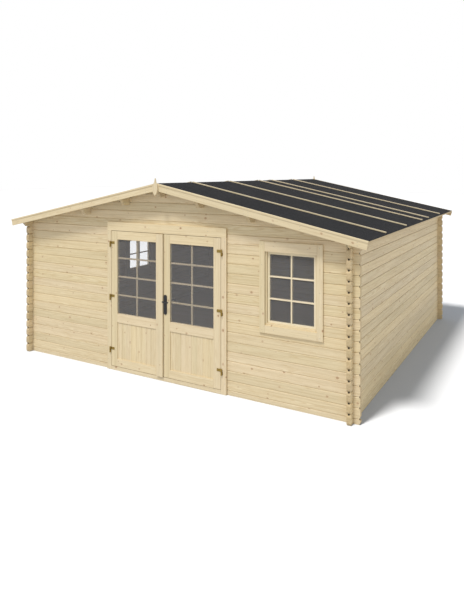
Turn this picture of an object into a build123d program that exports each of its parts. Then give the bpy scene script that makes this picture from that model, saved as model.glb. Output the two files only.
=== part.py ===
"""Log garden house with a low gable roof, a glazed double door and two windows.

Millimetres. X runs to the right of someone facing the door, Y runs from the door to the rear wall,
Z is up. The origin is on the ground, under the middle of the house.
"""
from build123d import *
from math import cos, radians, sin, tan
import os

# Walls
WALL_SPAN = 4800          # between the centre lines of opposite walls, both ways
WALL_THICKNESS = 44
LOG_TAIL = 100            # from a crossing wall's centre line to the end of a log
LOG_HEIGHT = 113.6        # from one row to the next
LOG_GAP = 0.4             # between two rows
LOG_BEVEL = 6             # the V between two rows is two of these
TONGUE_WIDTH = 5          # of each of the two tongues along the top of a log, in grooves under the next
TONGUE_HEIGHT = 7
TONGUE_CLEARANCE = 1
HOLLOW_WIDTH = 18         # between the tongues, where two rows leave a hollow
HOLLOW_DEPTH = 10         # in each of the two
TAIL_CUT_LENGTH = 15      # the corners cut off each log end, along the log
TAIL_CUT_HEIGHT = 26
NOTCH_CLEARANCE = 0.4
SIDE_ROWS = 17
PLATE_RISE = 5.4          # top of the side walls over their last full row, at the outer face

# Roof
ROOF_PITCH = 11.8         # degrees
EAVE_OVERHANG = 212
GABLE_OVERHANG = 147      # from a gable wall to the back of its barge boards
ROOF_BOARD = 18
FELT = 3
SEAT_GAP = 0.3            # between the roof boards and what they lie on
BARGE_THICKNESS = 20
BARGE_HEIGHT = 92
BARGE_STRIP_HEIGHT = 20
BARGE_STRIP_THICKNESS = 5
BATTEN_WIDTH = 26
BATTEN_THICKNESS = 14
BATTEN_END_GAP = 30       # from the end of a batten to the eave
BATTEN_PLACES = (-1802, -812, 148, 618, 1518)
PURLIN_WIDTH = 44
PURLIN_HEIGHT = 148
PURLIN_PLACES = (-1258, -573, 0, 573, 1258)
PURLIN_NOSE = 45          # the sloping cut under a purlin's end, along it
PURLIN_NOSE_HEIGHT = 65
PLATE_NOSE = 50           # the same cut under the ends of a side wall's top log
FINIAL_WIDTH = 78
FINIAL_LENGTH = 213
FINIAL_LEAF = 172         # the leaf-shaped part, from the foot up
FINIAL_SPIKE = 24         # width of the spike over it
FINIAL_THICKNESS = 22
FINIAL_TOP = 61           # over the ridge

# Floor
JOIST_HEIGHT = 32
JOIST_WIDTH = 60
JOIST_COUNT = 11
FLOOR_BOARD = 18
FLOOR_CLEARANCE = 0.5     # between the floor and the walls

# Door frame
DOORWAY_WIDTH = 1692      # between the jambs
DOORWAY_HEAD = 1833       # underside of the head
FRAME_PROUD = 25          # of the wall, inside and outside
JAMB_CORE = 26
JAMB_COVER = 42           # the jamb's cheeks past its core, over the logs
HEAD_COVER = 71
CHANNEL_CLEARANCE = 3
CHEEK_CLEARANCE = 0.3
STOP_DEPTH = 12
THRESHOLD_HEIGHT = 47
DOOR_ROWS = 16            # full rows beside the doorway, over the half log

# Door leaves
LEAF_CLEARANCE = 5        # at the jambs and the head
LEAF_SILL_CLEARANCE = 6
LEAF_THICKNESS = 40
LEAF_STOP_CLEARANCE = 5
MEETING_GAP = 7
MEETING_PLACE = 12        # the gap between the leaves, right of the middle
JOINT_GAP = 0.3           # between the members of a leaf
HINGE_STILE = 100
PANE_INSET = 109          # from the middle of the doorway to each leaf's panes
BOTTOM_RAIL = 102
PANEL_HEIGHT = 477
MIDDLE_RAIL = 114
PANES_HEIGHT = 972
PANE_COLUMNS = 2
PANE_ROWS = 4
LEAF_BAR = 20
LEAF_BAR_DEPTH = 14
GLASS = 4
GLASS_SET_BACK = 10       # from the leaf's face to its glass
GLASS_CLEARANCE = 0.3
PANEL_THICKNESS = 16
PANEL_SET_BACK = 10
PANEL_BOARDS = 8
PANEL_BEVEL = 2
STRIP_WIDTH = 96
STRIP_THICKNESS = 20

# Hinges
HINGE_HEIGHTS = (263, 955, 1655)
KNUCKLE_RADIUS = 9
KNUCKLE_LENGTH = 35
KNUCKLE_GAP = 1
HINGE_STAND_OFF = 12      # from the leaf's face to the pin's centre
HINGE_PLACE = 15          # from the leaf's edge to the pin's centre
PIN_RADIUS = 4
PIN_CLEARANCE = 0.4
PIN_LENGTH = 27
FLAP_LENGTH = 52
FLAP_HEIGHT = 33
FLAP_THICKNESS = 3
FLAP_SEAT = 8             # the flap's crank laps over it by this much
FRAME_PLATE_LENGTH = 14   # from the pin's centre

# Handle
PLATE_WIDTH = 46
PLATE_LENGTH = 244
PLATE_THICKNESS = 7
PLATE_EDGE = 2            # from the leaf's meeting edge
PLATE_DROP = 46           # from the spindle to the middle of the plate
SPINDLE_HEIGHT = 1000
SPINDLE_RADIUS = 8
SPINDLE_CLEARANCE = 1
SPINDLE_PLACE = 23        # from the plate's edge
LEVER_STAND_OFF = 56      # from the leaf's face to the lever
LEVER_LENGTH = 98
LEVER_HEIGHT = 21
LEVER_DEPTH = 14

# Windows
WINDOW_PLACE = 1722       # the front window's centre line, from the middle of the wall
WINDOW_WIDTH = 690        # of the gap in the logs
WINDOW_FIRST_ROW = 7      # full rows under the window
WINDOW_ROWS = 8
LINING = 54
LINING_CLEARANCE = 0.3
CASING_THICKNESS = 18
CASING_SIDE = 34          # over the logs, beside the gap
CASING_TOP = 65
CASING_BOTTOM = 55
CASING_LAP = 34           # over the lining, past the gap's edge
CASING_TOP_DROP = 14      # the head casing laps over the lining by this much more
SASH_CLEARANCE = 0.5
SASH_THICKNESS = 32
SASH_SET_BACK = 18        # from the wall's face
SASH_MEMBER = 26
SASH_BAR = 17
SASH_BAR_DEPTH = 8        # in front of the glass
SASH_COLUMNS = 2
SASH_ROWS = 3

# Places worked out from the sizes above
half_span = WALL_SPAN / 2
half_out = half_span + WALL_THICKNESS / 2
half_in = half_span - WALL_THICKNESS / 2
log_end = half_span + LOG_TAIL
half_log = LOG_HEIGHT / 2
half_thick = WALL_THICKNESS / 2
slope = tan(radians(ROOF_PITCH))
rise = 1 / cos(radians(ROOF_PITCH))
eave_half = half_out + EAVE_OVERHANG
wall_top = SIDE_ROWS * LOG_HEIGHT + PLATE_RISE
ridge_under = wall_top + half_out * slope
ridge_top = ridge_under + (ROOF_BOARD + FELT) * rise
barge_back = half_out + GABLE_OVERHANG
gable_base = half_log + DOOR_ROWS * LOG_HEIGHT
face = -half_out
leaf_face = face - FRAME_PROUD
leaf_back = leaf_face + LEAF_THICKNESS
doorway_half = DOORWAY_WIDTH / 2
leaf_bottom = THRESHOLD_HEIGHT + LEAF_SILL_CLEARANCE
leaf_top = DOORWAY_HEAD - LEAF_CLEARANCE
hinge_edge = doorway_half - LEAF_CLEARANCE
hinge_x = hinge_edge + HINGE_PLACE
hinge_y = leaf_face - HINGE_STAND_OFF


def roof_underside(x):
    """Height of the underside of the roof boards at a distance from the ridge."""
    return ridge_under - abs(x) * slope


def seat(x):
    """Height at which a piece carries the roof boards."""
    return roof_underside(x) - SEAT_GAP


def felt_top(x):
    """Height of the roof's upper face."""
    return roof_underside(x) + (ROOF_BOARD + FELT) * rise


def row_bottom(row, first_half):
    """Height of a row of logs. The front and rear walls start with a half log, row -1."""
    if not first_half:
        return row * LOG_HEIGHT
    return max(0, row * LOG_HEIGHT + half_log)


def beam(plane, start, end, outline, section):
    """A timber along a plane's X axis: a side outline, cut to a section across it."""
    reach = max(abs(u) for u, v in section)
    across = Plane(origin=plane.from_local_coords(Vector(start, 0, 0)), x_dir=-plane.z_dir, z_dir=plane.x_dir)
    with BuildPart() as timber:
        with BuildSketch(plane.offset(-reach)):
            with BuildLine():
                Polyline(*outline, close=True)
            make_face()
        extrude(amount=2 * reach)
        with BuildSketch(across):
            with BuildLine():
                Polyline(*section, close=True)
            make_face()
        extrude(amount=end - start, mode=Mode.INTERSECT)
    return timber.part


def sorted_along(points):
    """Outline points in order along the log; two at one place keep their order."""
    return sorted(points, key=lambda point: point[0])


def grooves(low):
    """The part of a log's section that goes round the hollow in its underside, from left to right."""
    inner = HOLLOW_WIDTH / 2
    outer = inner + TONGUE_WIDTH + TONGUE_CLEARANCE
    roof = low + TONGUE_HEIGHT + TONGUE_CLEARANCE
    return [(-outer, low), (-outer, roof), (-inner, roof), (-inner, low + HOLLOW_DEPTH),
            (inner, low + HOLLOW_DEPTH), (inner, roof), (outer, roof), (outer, low)]


def log(plane, start, end, row, first_half, crossings=(), free=(), flat=None):
    """One wall log with two tongues on top and their grooves below, bevelled along its edges.

    It is notched at its crossings with other walls. free names the ends that stand past a corner and
    have their corners cut off. flat is a stretch under a window, which has no tongues.
    """
    low = row_bottom(row, first_half)
    high = row_bottom(row + 1, first_half) - LOG_GAP
    crest = high + TONGUE_HEIGHT
    grounded = low == 0
    reach = half_thick + NOTCH_CLEARANCE
    under_notch = low + LOG_HEIGHT / 4 + NOTCH_CLEARANCE / 2
    over_notch = high - LOG_HEIGHT / 4 + LOG_GAP - NOTCH_CLEARANCE / 2
    cut = min(TAIL_CUT_HEIGHT, (high - low) / 3)
    under = [(start, low)]
    over = [(start, crest)]
    if "start" in free:
        under = [(start, low + cut), (start + TAIL_CUT_LENGTH, low)]
        over = [(start, high - cut), (start + TAIL_CUT_LENGTH, high), (start + TAIL_CUT_LENGTH, crest)]
    if flat:
        over += [(flat[0], crest), (flat[0], high), (flat[1], high), (flat[1], crest)]
    for place in crossings:
        over += [(place - reach, crest), (place - reach, over_notch)]
        over += [(place + reach, over_notch), (place + reach, crest)]
        if row >= 0:
            under += [(place - reach, low), (place - reach, under_notch)]
            under += [(place + reach, under_notch), (place + reach, low)]
    if "end" in free:
        under += [(end - TAIL_CUT_LENGTH, low), (end, low + cut)]
        over += [(end - TAIL_CUT_LENGTH, crest), (end - TAIL_CUT_LENGTH, high), (end, high - cut)]
    else:
        under.append((end, low))
        over.append((end, crest))
    inner = HOLLOW_WIDTH / 2
    outer = inner + TONGUE_WIDTH
    right = [(half_thick, high - LOG_BEVEL), (half_thick - LOG_BEVEL, high), (outer, high), (outer, crest),
             (inner, crest), (inner, high - HOLLOW_DEPTH)]
    top = right + [(-across, up) for across, up in right[::-1]]
    bottom = [(-half_thick, low + LOG_BEVEL), (LOG_BEVEL - half_thick, low), *grooves(low),
              (half_thick - LOG_BEVEL, low), (half_thick, low + LOG_BEVEL)]
    if grounded:
        bottom = [(-half_thick, low), (half_thick, low)]
    return beam(plane, start, end, under + sorted_along(over)[::-1], top + bottom)


def plate(plane, section_seat):
    """A side wall's top log. It runs on to the barge boards and its top follows the roof."""
    end = barge_back - SEAT_GAP
    low = row_bottom(SIDE_ROWS - 1, False)
    high = wall_top + WALL_THICKNESS
    notch = low + LOG_HEIGHT / 4 + NOTCH_CLEARANCE / 2
    reach = half_thick + NOTCH_CLEARANCE
    outline = [(-end, low + PLATE_NOSE), (PLATE_NOSE - end, low)]
    for place in corners:
        outline += [(place - reach, low), (place - reach, notch), (place + reach, notch), (place + reach, low)]
    outline += [(end - PLATE_NOSE, low), (end, low + PLATE_NOSE), (end, high), (-end, high)]
    section = [(half_thick, section_seat(half_thick)), (-half_thick, section_seat(-half_thick)),
               (-half_thick, low + LOG_BEVEL), (LOG_BEVEL - half_thick, low), *grooves(low),
               (half_thick - LOG_BEVEL, low), (half_thick, low + LOG_BEVEL)]
    return beam(plane, -end, end, outline, section)


def gable(plane):
    """The rows of logs over a gable wall, cut to the roof line and slotted for the purlins."""
    end = half_in - NOTCH_CLEARANCE
    count = int((seat(0) - gable_base) / LOG_HEIGHT - 0.1) + 1
    rows = [log(plane, -end, end, DOOR_ROWS + row, True) for row in range(count)]
    slot = PURLIN_WIDTH + 2 * NOTCH_CLEARANCE
    with BuildPart() as wall:
        add(rows)
        with BuildSketch(plane.offset(-WALL_THICKNESS)):
            with BuildLine():
                Polyline((-eave_half, seat(eave_half)), (0, seat(0)), (eave_half, seat(eave_half)),
                         (eave_half, above_roof), (-eave_half, above_roof), close=True)
            make_face()
            for place in PURLIN_PLACES:
                foot = seat(place) - PURLIN_HEIGHT - NOTCH_CLEARANCE
                with Locations((place, (foot + above_roof) / 2)):
                    Rectangle(slot, above_roof - foot)
        extrude(amount=2 * WALL_THICKNESS, mode=Mode.SUBTRACT)
    return wall.part


def rows_beside_window(plane, first_half, start, end, left, right, crossings, free, rows):
    """Rows of logs from start to end, in two lengths beside the window's gap."""
    window_rows = range(WINDOW_FIRST_ROW, WINDOW_FIRST_ROW + WINDOW_ROWS)
    logs = []
    for row in rows:
        if row in window_rows:
            near = [place for place in crossings if place < left]
            far = [place for place in crossings if place > right]
            logs.append(log(plane, start, left, row, first_half, near, [name for name in free if name == "start"]))
            logs.append(log(plane, right, end, row, first_half, far, [name for name in free if name == "end"]))
        elif row == WINDOW_FIRST_ROW - 1:
            logs.append(log(plane, start, end, row, first_half, crossings, free, (left, right)))
        else:
            logs.append(log(plane, start, end, row, first_half, crossings, free))
    return logs


front_plane = Plane(origin=(0, -half_span, 0), x_dir=(1, 0, 0), z_dir=(0, -1, 0))
rear_plane = Plane(origin=(0, half_span, 0), x_dir=(1, 0, 0), z_dir=(0, -1, 0))
right_plane = Plane(origin=(half_span, 0, 0), x_dir=(0, 1, 0), z_dir=(1, 0, 0))
left_plane = Plane(origin=(-half_span, 0, 0), x_dir=(0, 1, 0), z_dir=(1, 0, 0))
above_roof = ridge_top + WALL_THICKNESS
corners = (-half_span, half_span)
both_ends = ("start", "end")
gable_wall_rows = range(-1, DOOR_ROWS)
log_stop = doorway_half + JAMB_CORE + CHANNEL_CLEARANCE
window_left = WINDOW_PLACE - WINDOW_WIDTH / 2
window_right = WINDOW_PLACE + WINDOW_WIDTH / 2

# Front wall, left of the doorway
left_of_door = [log(front_plane, -log_end, -log_stop, row, True, corners[:1], both_ends[:1])
                for row in gable_wall_rows]
with BuildPart() as front_wall_left:
    add(left_of_door)

# Front wall, right of the doorway, around the window
right_of_door = rows_beside_window(front_plane, True, log_stop, log_end, window_left, window_right,
                                   corners[1:], both_ends[1:], gable_wall_rows)
with BuildPart() as front_wall_right:
    add(right_of_door)

# Rear wall
rear_rows = [log(rear_plane, -log_end, log_end, row, True, corners, both_ends) for row in gable_wall_rows]
with BuildPart() as rear_wall:
    add(rear_rows)

# Side walls, with a top log that follows the roof
plain_rows = range(SIDE_ROWS - 1)
right_rows = [log(right_plane, -log_end, log_end, row, False, corners, both_ends) for row in plain_rows]
right_rows.append(plate(right_plane, lambda inward: seat(half_span - inward)))
with BuildPart() as right_wall:
    add(right_rows)
left_rows = rows_beside_window(left_plane, False, -log_end, log_end, -WINDOW_WIDTH / 2, WINDOW_WIDTH / 2,
                               corners, both_ends, plain_rows)
left_rows.append(plate(left_plane, lambda outward: seat(half_span + outward)))
with BuildPart() as left_wall:
    add(left_rows)

# Gables
front_gable_logs = gable(front_plane)
rear_gable_logs = gable(rear_plane)
with BuildPart() as front_gable:
    add(front_gable_logs)
with BuildPart() as rear_gable:
    add(rear_gable_logs)

# Purlins, cut back under both ends
purlin_end = barge_back - SEAT_GAP
purlin_beams = []
for place in PURLIN_PLACES:
    foot = seat(place) - PURLIN_HEIGHT
    outline = [(-purlin_end, foot + PURLIN_NOSE_HEIGHT), (PURLIN_NOSE - purlin_end, foot),
               (purlin_end - PURLIN_NOSE, foot), (purlin_end, foot + PURLIN_NOSE_HEIGHT),
               (purlin_end, above_roof), (-purlin_end, above_roof)]
    half_width = PURLIN_WIDTH / 2
    section = [(half_width, seat(place - half_width)), (-half_width, seat(place + half_width)),
               (-half_width, foot), (half_width, foot)]
    if place == 0:
        section.insert(1, (0, seat(0)))
    middle = Plane(origin=(place, 0, 0), x_dir=(0, 1, 0), z_dir=(1, 0, 0))
    purlin_beams.append(beam(middle, -purlin_end, purlin_end, outline, section))
with BuildPart() as purlins:
    add(purlin_beams)

# Floor: bearers on the ground and boards over them, kept behind the door frame
frame_back = face + WALL_THICKNESS + FRAME_PROUD
frame_half = doorway_half + JAMB_CORE + JAMB_COVER
floor_half = half_in - FLOOR_CLEARANCE
floor_front = frame_back + FLOOR_CLEARANCE
joist_spacing = (2 * floor_half - JOIST_WIDTH) / (JOIST_COUNT - 1)
with BuildPart() as floor_joists:
    with BuildSketch(Plane.XY):
        with Locations((0, (floor_front + floor_half) / 2)):
            with GridLocations(joist_spacing, 0, JOIST_COUNT, 1):
                Rectangle(JOIST_WIDTH, floor_half - floor_front)
    extrude(amount=JOIST_HEIGHT)
with BuildPart() as floor_boards:
    with BuildSketch(Plane.XY.offset(JOIST_HEIGHT)):
        Rectangle(2 * floor_half, 2 * floor_half)
        with Locations((0, -floor_half)):
            Rectangle(2 * (frame_half + FLOOR_CLEARANCE), 2 * (floor_front + floor_half), mode=Mode.SUBTRACT)
    extrude(amount=FLOOR_BOARD)


def roof_layer(side, inner, outer, lift, thickness, from_y, to_y):
    """A flat layer on one slope, lying lift above the underside of the roof boards."""
    low = lift * rise
    high = (lift + thickness) * rise
    with BuildPart() as layer:
        with BuildSketch(Plane.XZ.offset(-to_y)):
            with BuildLine():
                Polyline((side * inner, roof_underside(inner) + low), (side * outer, roof_underside(outer) + low),
                         (side * outer, roof_underside(outer) + high), (side * inner, roof_underside(inner) + high),
                         close=True)
            make_face()
        extrude(amount=to_y - from_y)
    return layer.part


# Roof boards and felt
ridge_gap = SEAT_GAP / 2
right_boards = roof_layer(1, ridge_gap, eave_half, 0, ROOF_BOARD, -barge_back, barge_back)
left_boards = roof_layer(-1, ridge_gap, eave_half, 0, ROOF_BOARD, -barge_back, barge_back)
felt_sheets = [roof_layer(side, ridge_gap, eave_half, ROOF_BOARD, FELT, -barge_back, barge_back)
               for side in (-1, 1)]
with BuildPart() as right_roof_boards:
    add(right_boards)
with BuildPart() as left_roof_boards:
    add(left_boards)
with BuildPart() as roof_felt:
    add(felt_sheets)

# Battens over the felt's laps
batten_strips = []
for side in (-1, 1):
    for place in BATTEN_PLACES:
        batten_strips.append(roof_layer(side, BATTEN_WIDTH / 2, eave_half - BATTEN_END_GAP, ROOF_BOARD + FELT,
                                        BATTEN_THICKNESS, place - BATTEN_WIDTH / 2, place + BATTEN_WIDTH / 2))
with BuildPart() as roof_battens:
    add(batten_strips)


def barge(side, inner, height, from_y, to_y):
    """A board along one slope, its top level with the felt and its foot cut square."""
    foot_x = eave_half - height * sin(radians(ROOF_PITCH))
    foot_z = felt_top(eave_half) - height * cos(radians(ROOF_PITCH))
    with BuildPart() as board:
        with BuildSketch(Plane.XZ.offset(-to_y)):
            with BuildLine():
                Polyline((side * inner, felt_top(inner)), (side * eave_half, felt_top(eave_half)),
                         (side * foot_x, foot_z), (side * inner, felt_top(inner) - height * rise), close=True)
            make_face()
        extrude(amount=to_y - from_y)
    return board.part


# Barge boards, each with a strip along its top edge, and a finial over their joint
barge_front = barge_back + BARGE_THICKNESS
strip_back = barge_front + SEAT_GAP
strip_front = strip_back + BARGE_STRIP_THICKNESS
strip_inner = FINIAL_WIDTH / 2 + LOG_BEVEL
front_barges = []
rear_barges = []
for side in (-1, 1):
    front_barges.append(barge(side, ridge_gap, BARGE_HEIGHT, -barge_front, -barge_back))
    front_barges.append(barge(side, strip_inner, BARGE_STRIP_HEIGHT, -strip_front, -strip_back))
    rear_barges.append(barge(side, ridge_gap, BARGE_HEIGHT, barge_back, barge_front))
    rear_barges.append(barge(side, strip_inner, BARGE_STRIP_HEIGHT, strip_back, strip_front))
with BuildPart() as front_barge_boards:
    add(front_barges)
with BuildPart() as rear_barge_boards:
    add(rear_barges)

finial_tip = ridge_top + FINIAL_TOP
finial_foot = finial_tip - FINIAL_LENGTH
leaf_tip = finial_foot + FINIAL_LEAF
finial_middle = (leaf_tip + finial_foot) / 2
with BuildPart() as finials:
    for back in (-barge_front, barge_front + FINIAL_THICKNESS):
        with BuildSketch(Plane.XZ.offset(-back)):
            with BuildLine():
                ThreePointArc((0, leaf_tip), (FINIAL_WIDTH / 2, finial_middle), (0, finial_foot))
                ThreePointArc((0, finial_foot), (-FINIAL_WIDTH / 2, finial_middle), (0, leaf_tip))
            make_face()
            with BuildLine():
                Polyline((0, finial_tip), (FINIAL_SPIKE / 2, leaf_tip - FINIAL_SPIKE / 2),
                         (-FINIAL_SPIKE / 2, leaf_tip - FINIAL_SPIKE / 2), close=True)
            make_face()
        extrude(amount=FINIAL_THICKNESS)

# Door frame: each jamb clasps the ends of the logs
cheek_inside = face + WALL_THICKNESS + CHEEK_CLEARANCE
cheek_outside = face - CHEEK_CLEARANCE
frame_front = face - FRAME_PROUD
stop_face = leaf_back + LEAF_STOP_CLEARANCE
stop_half = doorway_half - STOP_DEPTH
core_half = doorway_half + JAMB_CORE
jamb_top = DOORWAY_HEAD - JOINT_GAP
head_core_top = gable_base - LOG_GAP
head_top = head_core_top + HEAD_COVER
jamb_plan = [(doorway_half, frame_front), (doorway_half, stop_face), (stop_half, stop_face),
             (stop_half, frame_back), (frame_half, frame_back), (frame_half, cheek_inside),
             (core_half, cheek_inside), (core_half, cheek_outside), (frame_half, cheek_outside),
             (frame_half, frame_front)]
with BuildPart() as right_jamb:
    with BuildSketch(Plane.XY):
        with BuildLine():
            Polyline(*jamb_plan, close=True)
        make_face()
    extrude(amount=jamb_top)
with BuildPart() as left_jamb:
    with BuildSketch(Plane.XY):
        with BuildLine():
            Polyline(*[(-x, y) for x, y in jamb_plan], close=True)
        make_face()
    extrude(amount=jamb_top)

with BuildPart() as door_head:
    with BuildSketch(Plane.YZ.offset(-frame_half)):
        with BuildLine():
            Polyline((frame_front, DOORWAY_HEAD), (frame_back, DOORWAY_HEAD), (frame_back, head_top),
                     (cheek_inside, head_top), (cheek_inside, head_core_top), (cheek_outside, head_core_top),
                     (cheek_outside, head_top), (frame_front, head_top), close=True)
        make_face()
    extrude(amount=2 * frame_half)
    with BuildSketch(Plane.XY.offset(DOORWAY_HEAD)):
        for side in (-1, 1):
            with Locations((side * (core_half + JAMB_COVER), (cheek_inside + cheek_outside) / 2)):
                Rectangle(2 * JAMB_COVER, cheek_inside - cheek_outside)
    extrude(amount=head_core_top - DOORWAY_HEAD, mode=Mode.SUBTRACT)
    with BuildSketch(Plane.XY.offset(jamb_top - STOP_DEPTH)):
        with Locations((0, (stop_face + frame_back) / 2)):
            Rectangle(2 * (stop_half - JOINT_GAP), frame_back - stop_face)
    extrude(amount=STOP_DEPTH)

with BuildPart() as threshold:
    outer = doorway_half - JOINT_GAP
    inner = stop_half - JOINT_GAP
    shoulder = stop_face - JOINT_GAP
    with BuildSketch(Plane.XY):
        with BuildLine():
            Polyline((-outer, frame_front), (outer, frame_front), (outer, shoulder), (inner, shoulder),
                     (inner, frame_back), (-inner, frame_back), (-inner, shoulder), (-outer, shoulder), close=True)
        make_face()
    extrude(amount=THRESHOLD_HEIGHT)

# Heights in a door leaf
panel_low = leaf_bottom + BOTTOM_RAIL
panel_high = panel_low + PANEL_HEIGHT
pane_low = panel_high + MIDDLE_RAIL
pane_high = pane_low + PANES_HEIGHT
pane_outer = hinge_edge - HINGE_STILE
pane_inner = PANE_INSET
pane_width = pane_outer - pane_inner
pane_middle = (pane_outer + pane_inner) / 2
meeting_edges = {-1: MEETING_PLACE - MEETING_GAP / 2, 1: MEETING_PLACE + MEETING_GAP / 2}
leaf_middle_y = (leaf_face + leaf_back) / 2
glass_front = leaf_face + GLASS_SET_BACK
bar_front = glass_front + GLASS + GLASS_CLEARANCE
panel_front = leaf_face + PANEL_SET_BACK
plate_left = meeting_edges[1] + PLATE_EDGE
plate_middle = plate_left + PLATE_WIDTH / 2
plate_height = SPINDLE_HEIGHT - PLATE_DROP
spindle_x = plate_left + SPINDLE_PLACE


def leaf_member(from_x, to_x, from_z, to_z):
    """The centre and size of one member in a leaf's plane."""
    return (from_x + to_x) / 2, (from_z + to_z) / 2, abs(to_x - from_x), to_z - from_z


def leaf_members(side):
    """Two stiles and three rails."""
    rail_from = side * (pane_outer - JOINT_GAP)
    rail_to = side * (pane_inner + JOINT_GAP)
    return [leaf_member(side * hinge_edge, side * pane_outer, leaf_bottom, leaf_top),
            leaf_member(side * pane_inner, meeting_edges[side], leaf_bottom, leaf_top),
            leaf_member(rail_from, rail_to, leaf_bottom, panel_low),
            leaf_member(rail_from, rail_to, panel_high, pane_low),
            leaf_member(rail_from, rail_to, pane_high, leaf_top)]


with BuildPart() as left_leaf_frame:
    with BuildSketch(Plane.XZ.offset(-leaf_back)):
        for x, z, width, height in leaf_members(-1):
            with Locations((x, z)):
                Rectangle(width, height)
    extrude(amount=LEAF_THICKNESS)
with BuildPart() as right_leaf_frame:
    with BuildSketch(Plane.XZ.offset(-leaf_back)):
        for x, z, width, height in leaf_members(1):
            with Locations((x, z)):
                Rectangle(width, height)
        with Locations((spindle_x, SPINDLE_HEIGHT)):
            Circle(SPINDLE_RADIUS + SPINDLE_CLEARANCE, mode=Mode.SUBTRACT)
    extrude(amount=LEAF_THICKNESS)


def leaf_glass(side):
    """The sheet of glass in a leaf's upper part."""
    with BuildPart() as glass:
        with BuildSketch(Plane.XZ.offset(-(glass_front + GLASS))):
            with Locations((side * pane_middle, (pane_low + pane_high) / 2)):
                Rectangle(pane_width - 2 * GLASS_CLEARANCE, PANES_HEIGHT - 2 * GLASS_CLEARANCE)
        extrude(amount=GLASS)
    return glass.part


def leaf_bars(side):
    """The glazing bars behind the glass, one upright and three cross bars in one piece."""
    column = pane_width / PANE_COLUMNS
    row = PANES_HEIGHT / PANE_ROWS
    with BuildPart() as bars:
        with BuildSketch(Plane.XZ.offset(-(bar_front + LEAF_BAR_DEPTH))):
            with Locations((side * pane_middle, (pane_low + pane_high) / 2)):
                with GridLocations(column, 0, PANE_COLUMNS - 1, 1):
                    Rectangle(LEAF_BAR, PANES_HEIGHT - 2 * JOINT_GAP)
                with GridLocations(0, row, 1, PANE_ROWS - 1):
                    Rectangle(pane_width - 2 * JOINT_GAP, LEAF_BAR)
        extrude(amount=LEAF_BAR_DEPTH)
    return bars.part


def leaf_panel(side):
    """The boards in a leaf's lower part, with a groove along each joint."""
    width = pane_width / PANEL_BOARDS
    half = width / 2 - JOINT_GAP / 2
    front = panel_front
    back = panel_front + PANEL_THICKNESS
    with BuildPart() as panel:
        with BuildSketch(Plane.XY.offset(panel_low + JOINT_GAP)):
            for number in range(PANEL_BOARDS):
                middle = side * (pane_inner + (number + 0.5) * width)
                with BuildLine():
                    Polyline((middle - half, back), (middle + half, back), (middle + half, front + PANEL_BEVEL),
                             (middle + half - PANEL_BEVEL, front), (middle - half + PANEL_BEVEL, front),
                             (middle - half, front + PANEL_BEVEL), close=True)
                make_face()
        extrude(amount=PANEL_HEIGHT - 2 * JOINT_GAP)
    return panel.part


leaf_panes = {side: leaf_glass(side) for side in (-1, 1)}
leaf_lattices = {side: leaf_bars(side) for side in (-1, 1)}
leaf_boards = {side: leaf_panel(side) for side in (-1, 1)}
with BuildPart() as left_leaf_glass:
    add(leaf_panes[-1])
with BuildPart() as right_leaf_glass:
    add(leaf_panes[1])
with BuildPart() as left_leaf_bars:
    add(leaf_lattices[-1])
with BuildPart() as right_leaf_bars:
    add(leaf_lattices[1])
with BuildPart() as left_leaf_panel:
    add(leaf_boards[-1])
with BuildPart() as right_leaf_panel:
    add(leaf_boards[1])

# Cover strip on the left leaf's meeting stile
with BuildPart() as meeting_strip:
    with BuildSketch(Plane.XZ.offset(-leaf_face)):
        with Locations((meeting_edges[-1] - STRIP_WIDTH / 2, (leaf_bottom + leaf_top) / 2)):
            Rectangle(STRIP_WIDTH, leaf_top - leaf_bottom)
    extrude(amount=STRIP_THICKNESS)


def leaf_hinge(side, height):
    """A leaf's half of a hinge: a flap, its crank and the upper knuckle with the pin's bore."""
    low = height + KNUCKLE_GAP / 2
    middle = low + KNUCKLE_LENGTH / 2
    flap_end = hinge_edge - JOINT_GAP
    with BuildPart() as half:
        with BuildSketch(Plane.XY.offset(low)):
            with Locations((side * hinge_x, hinge_y)):
                Circle(KNUCKLE_RADIUS)
        extrude(amount=KNUCKLE_LENGTH)
        with BuildSketch(Plane.XY.offset(middle - FLAP_HEIGHT / 2)):
            with Locations((side * (flap_end - FLAP_LENGTH / 2), leaf_face - FLAP_THICKNESS / 2)):
                Rectangle(FLAP_LENGTH, FLAP_THICKNESS)
            with Locations((side * (flap_end - FLAP_SEAT + hinge_x) / 2, leaf_face - 1.5 * FLAP_THICKNESS)):
                Rectangle(hinge_x - flap_end + FLAP_SEAT, FLAP_THICKNESS)
        extrude(amount=FLAP_HEIGHT)
        with BuildSketch(Plane.XY.offset(low)):
            with Locations((side * hinge_x, hinge_y)):
                Circle(PIN_RADIUS + PIN_CLEARANCE)
        extrude(amount=PIN_LENGTH + PIN_CLEARANCE, mode=Mode.SUBTRACT)
    return half.part


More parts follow.
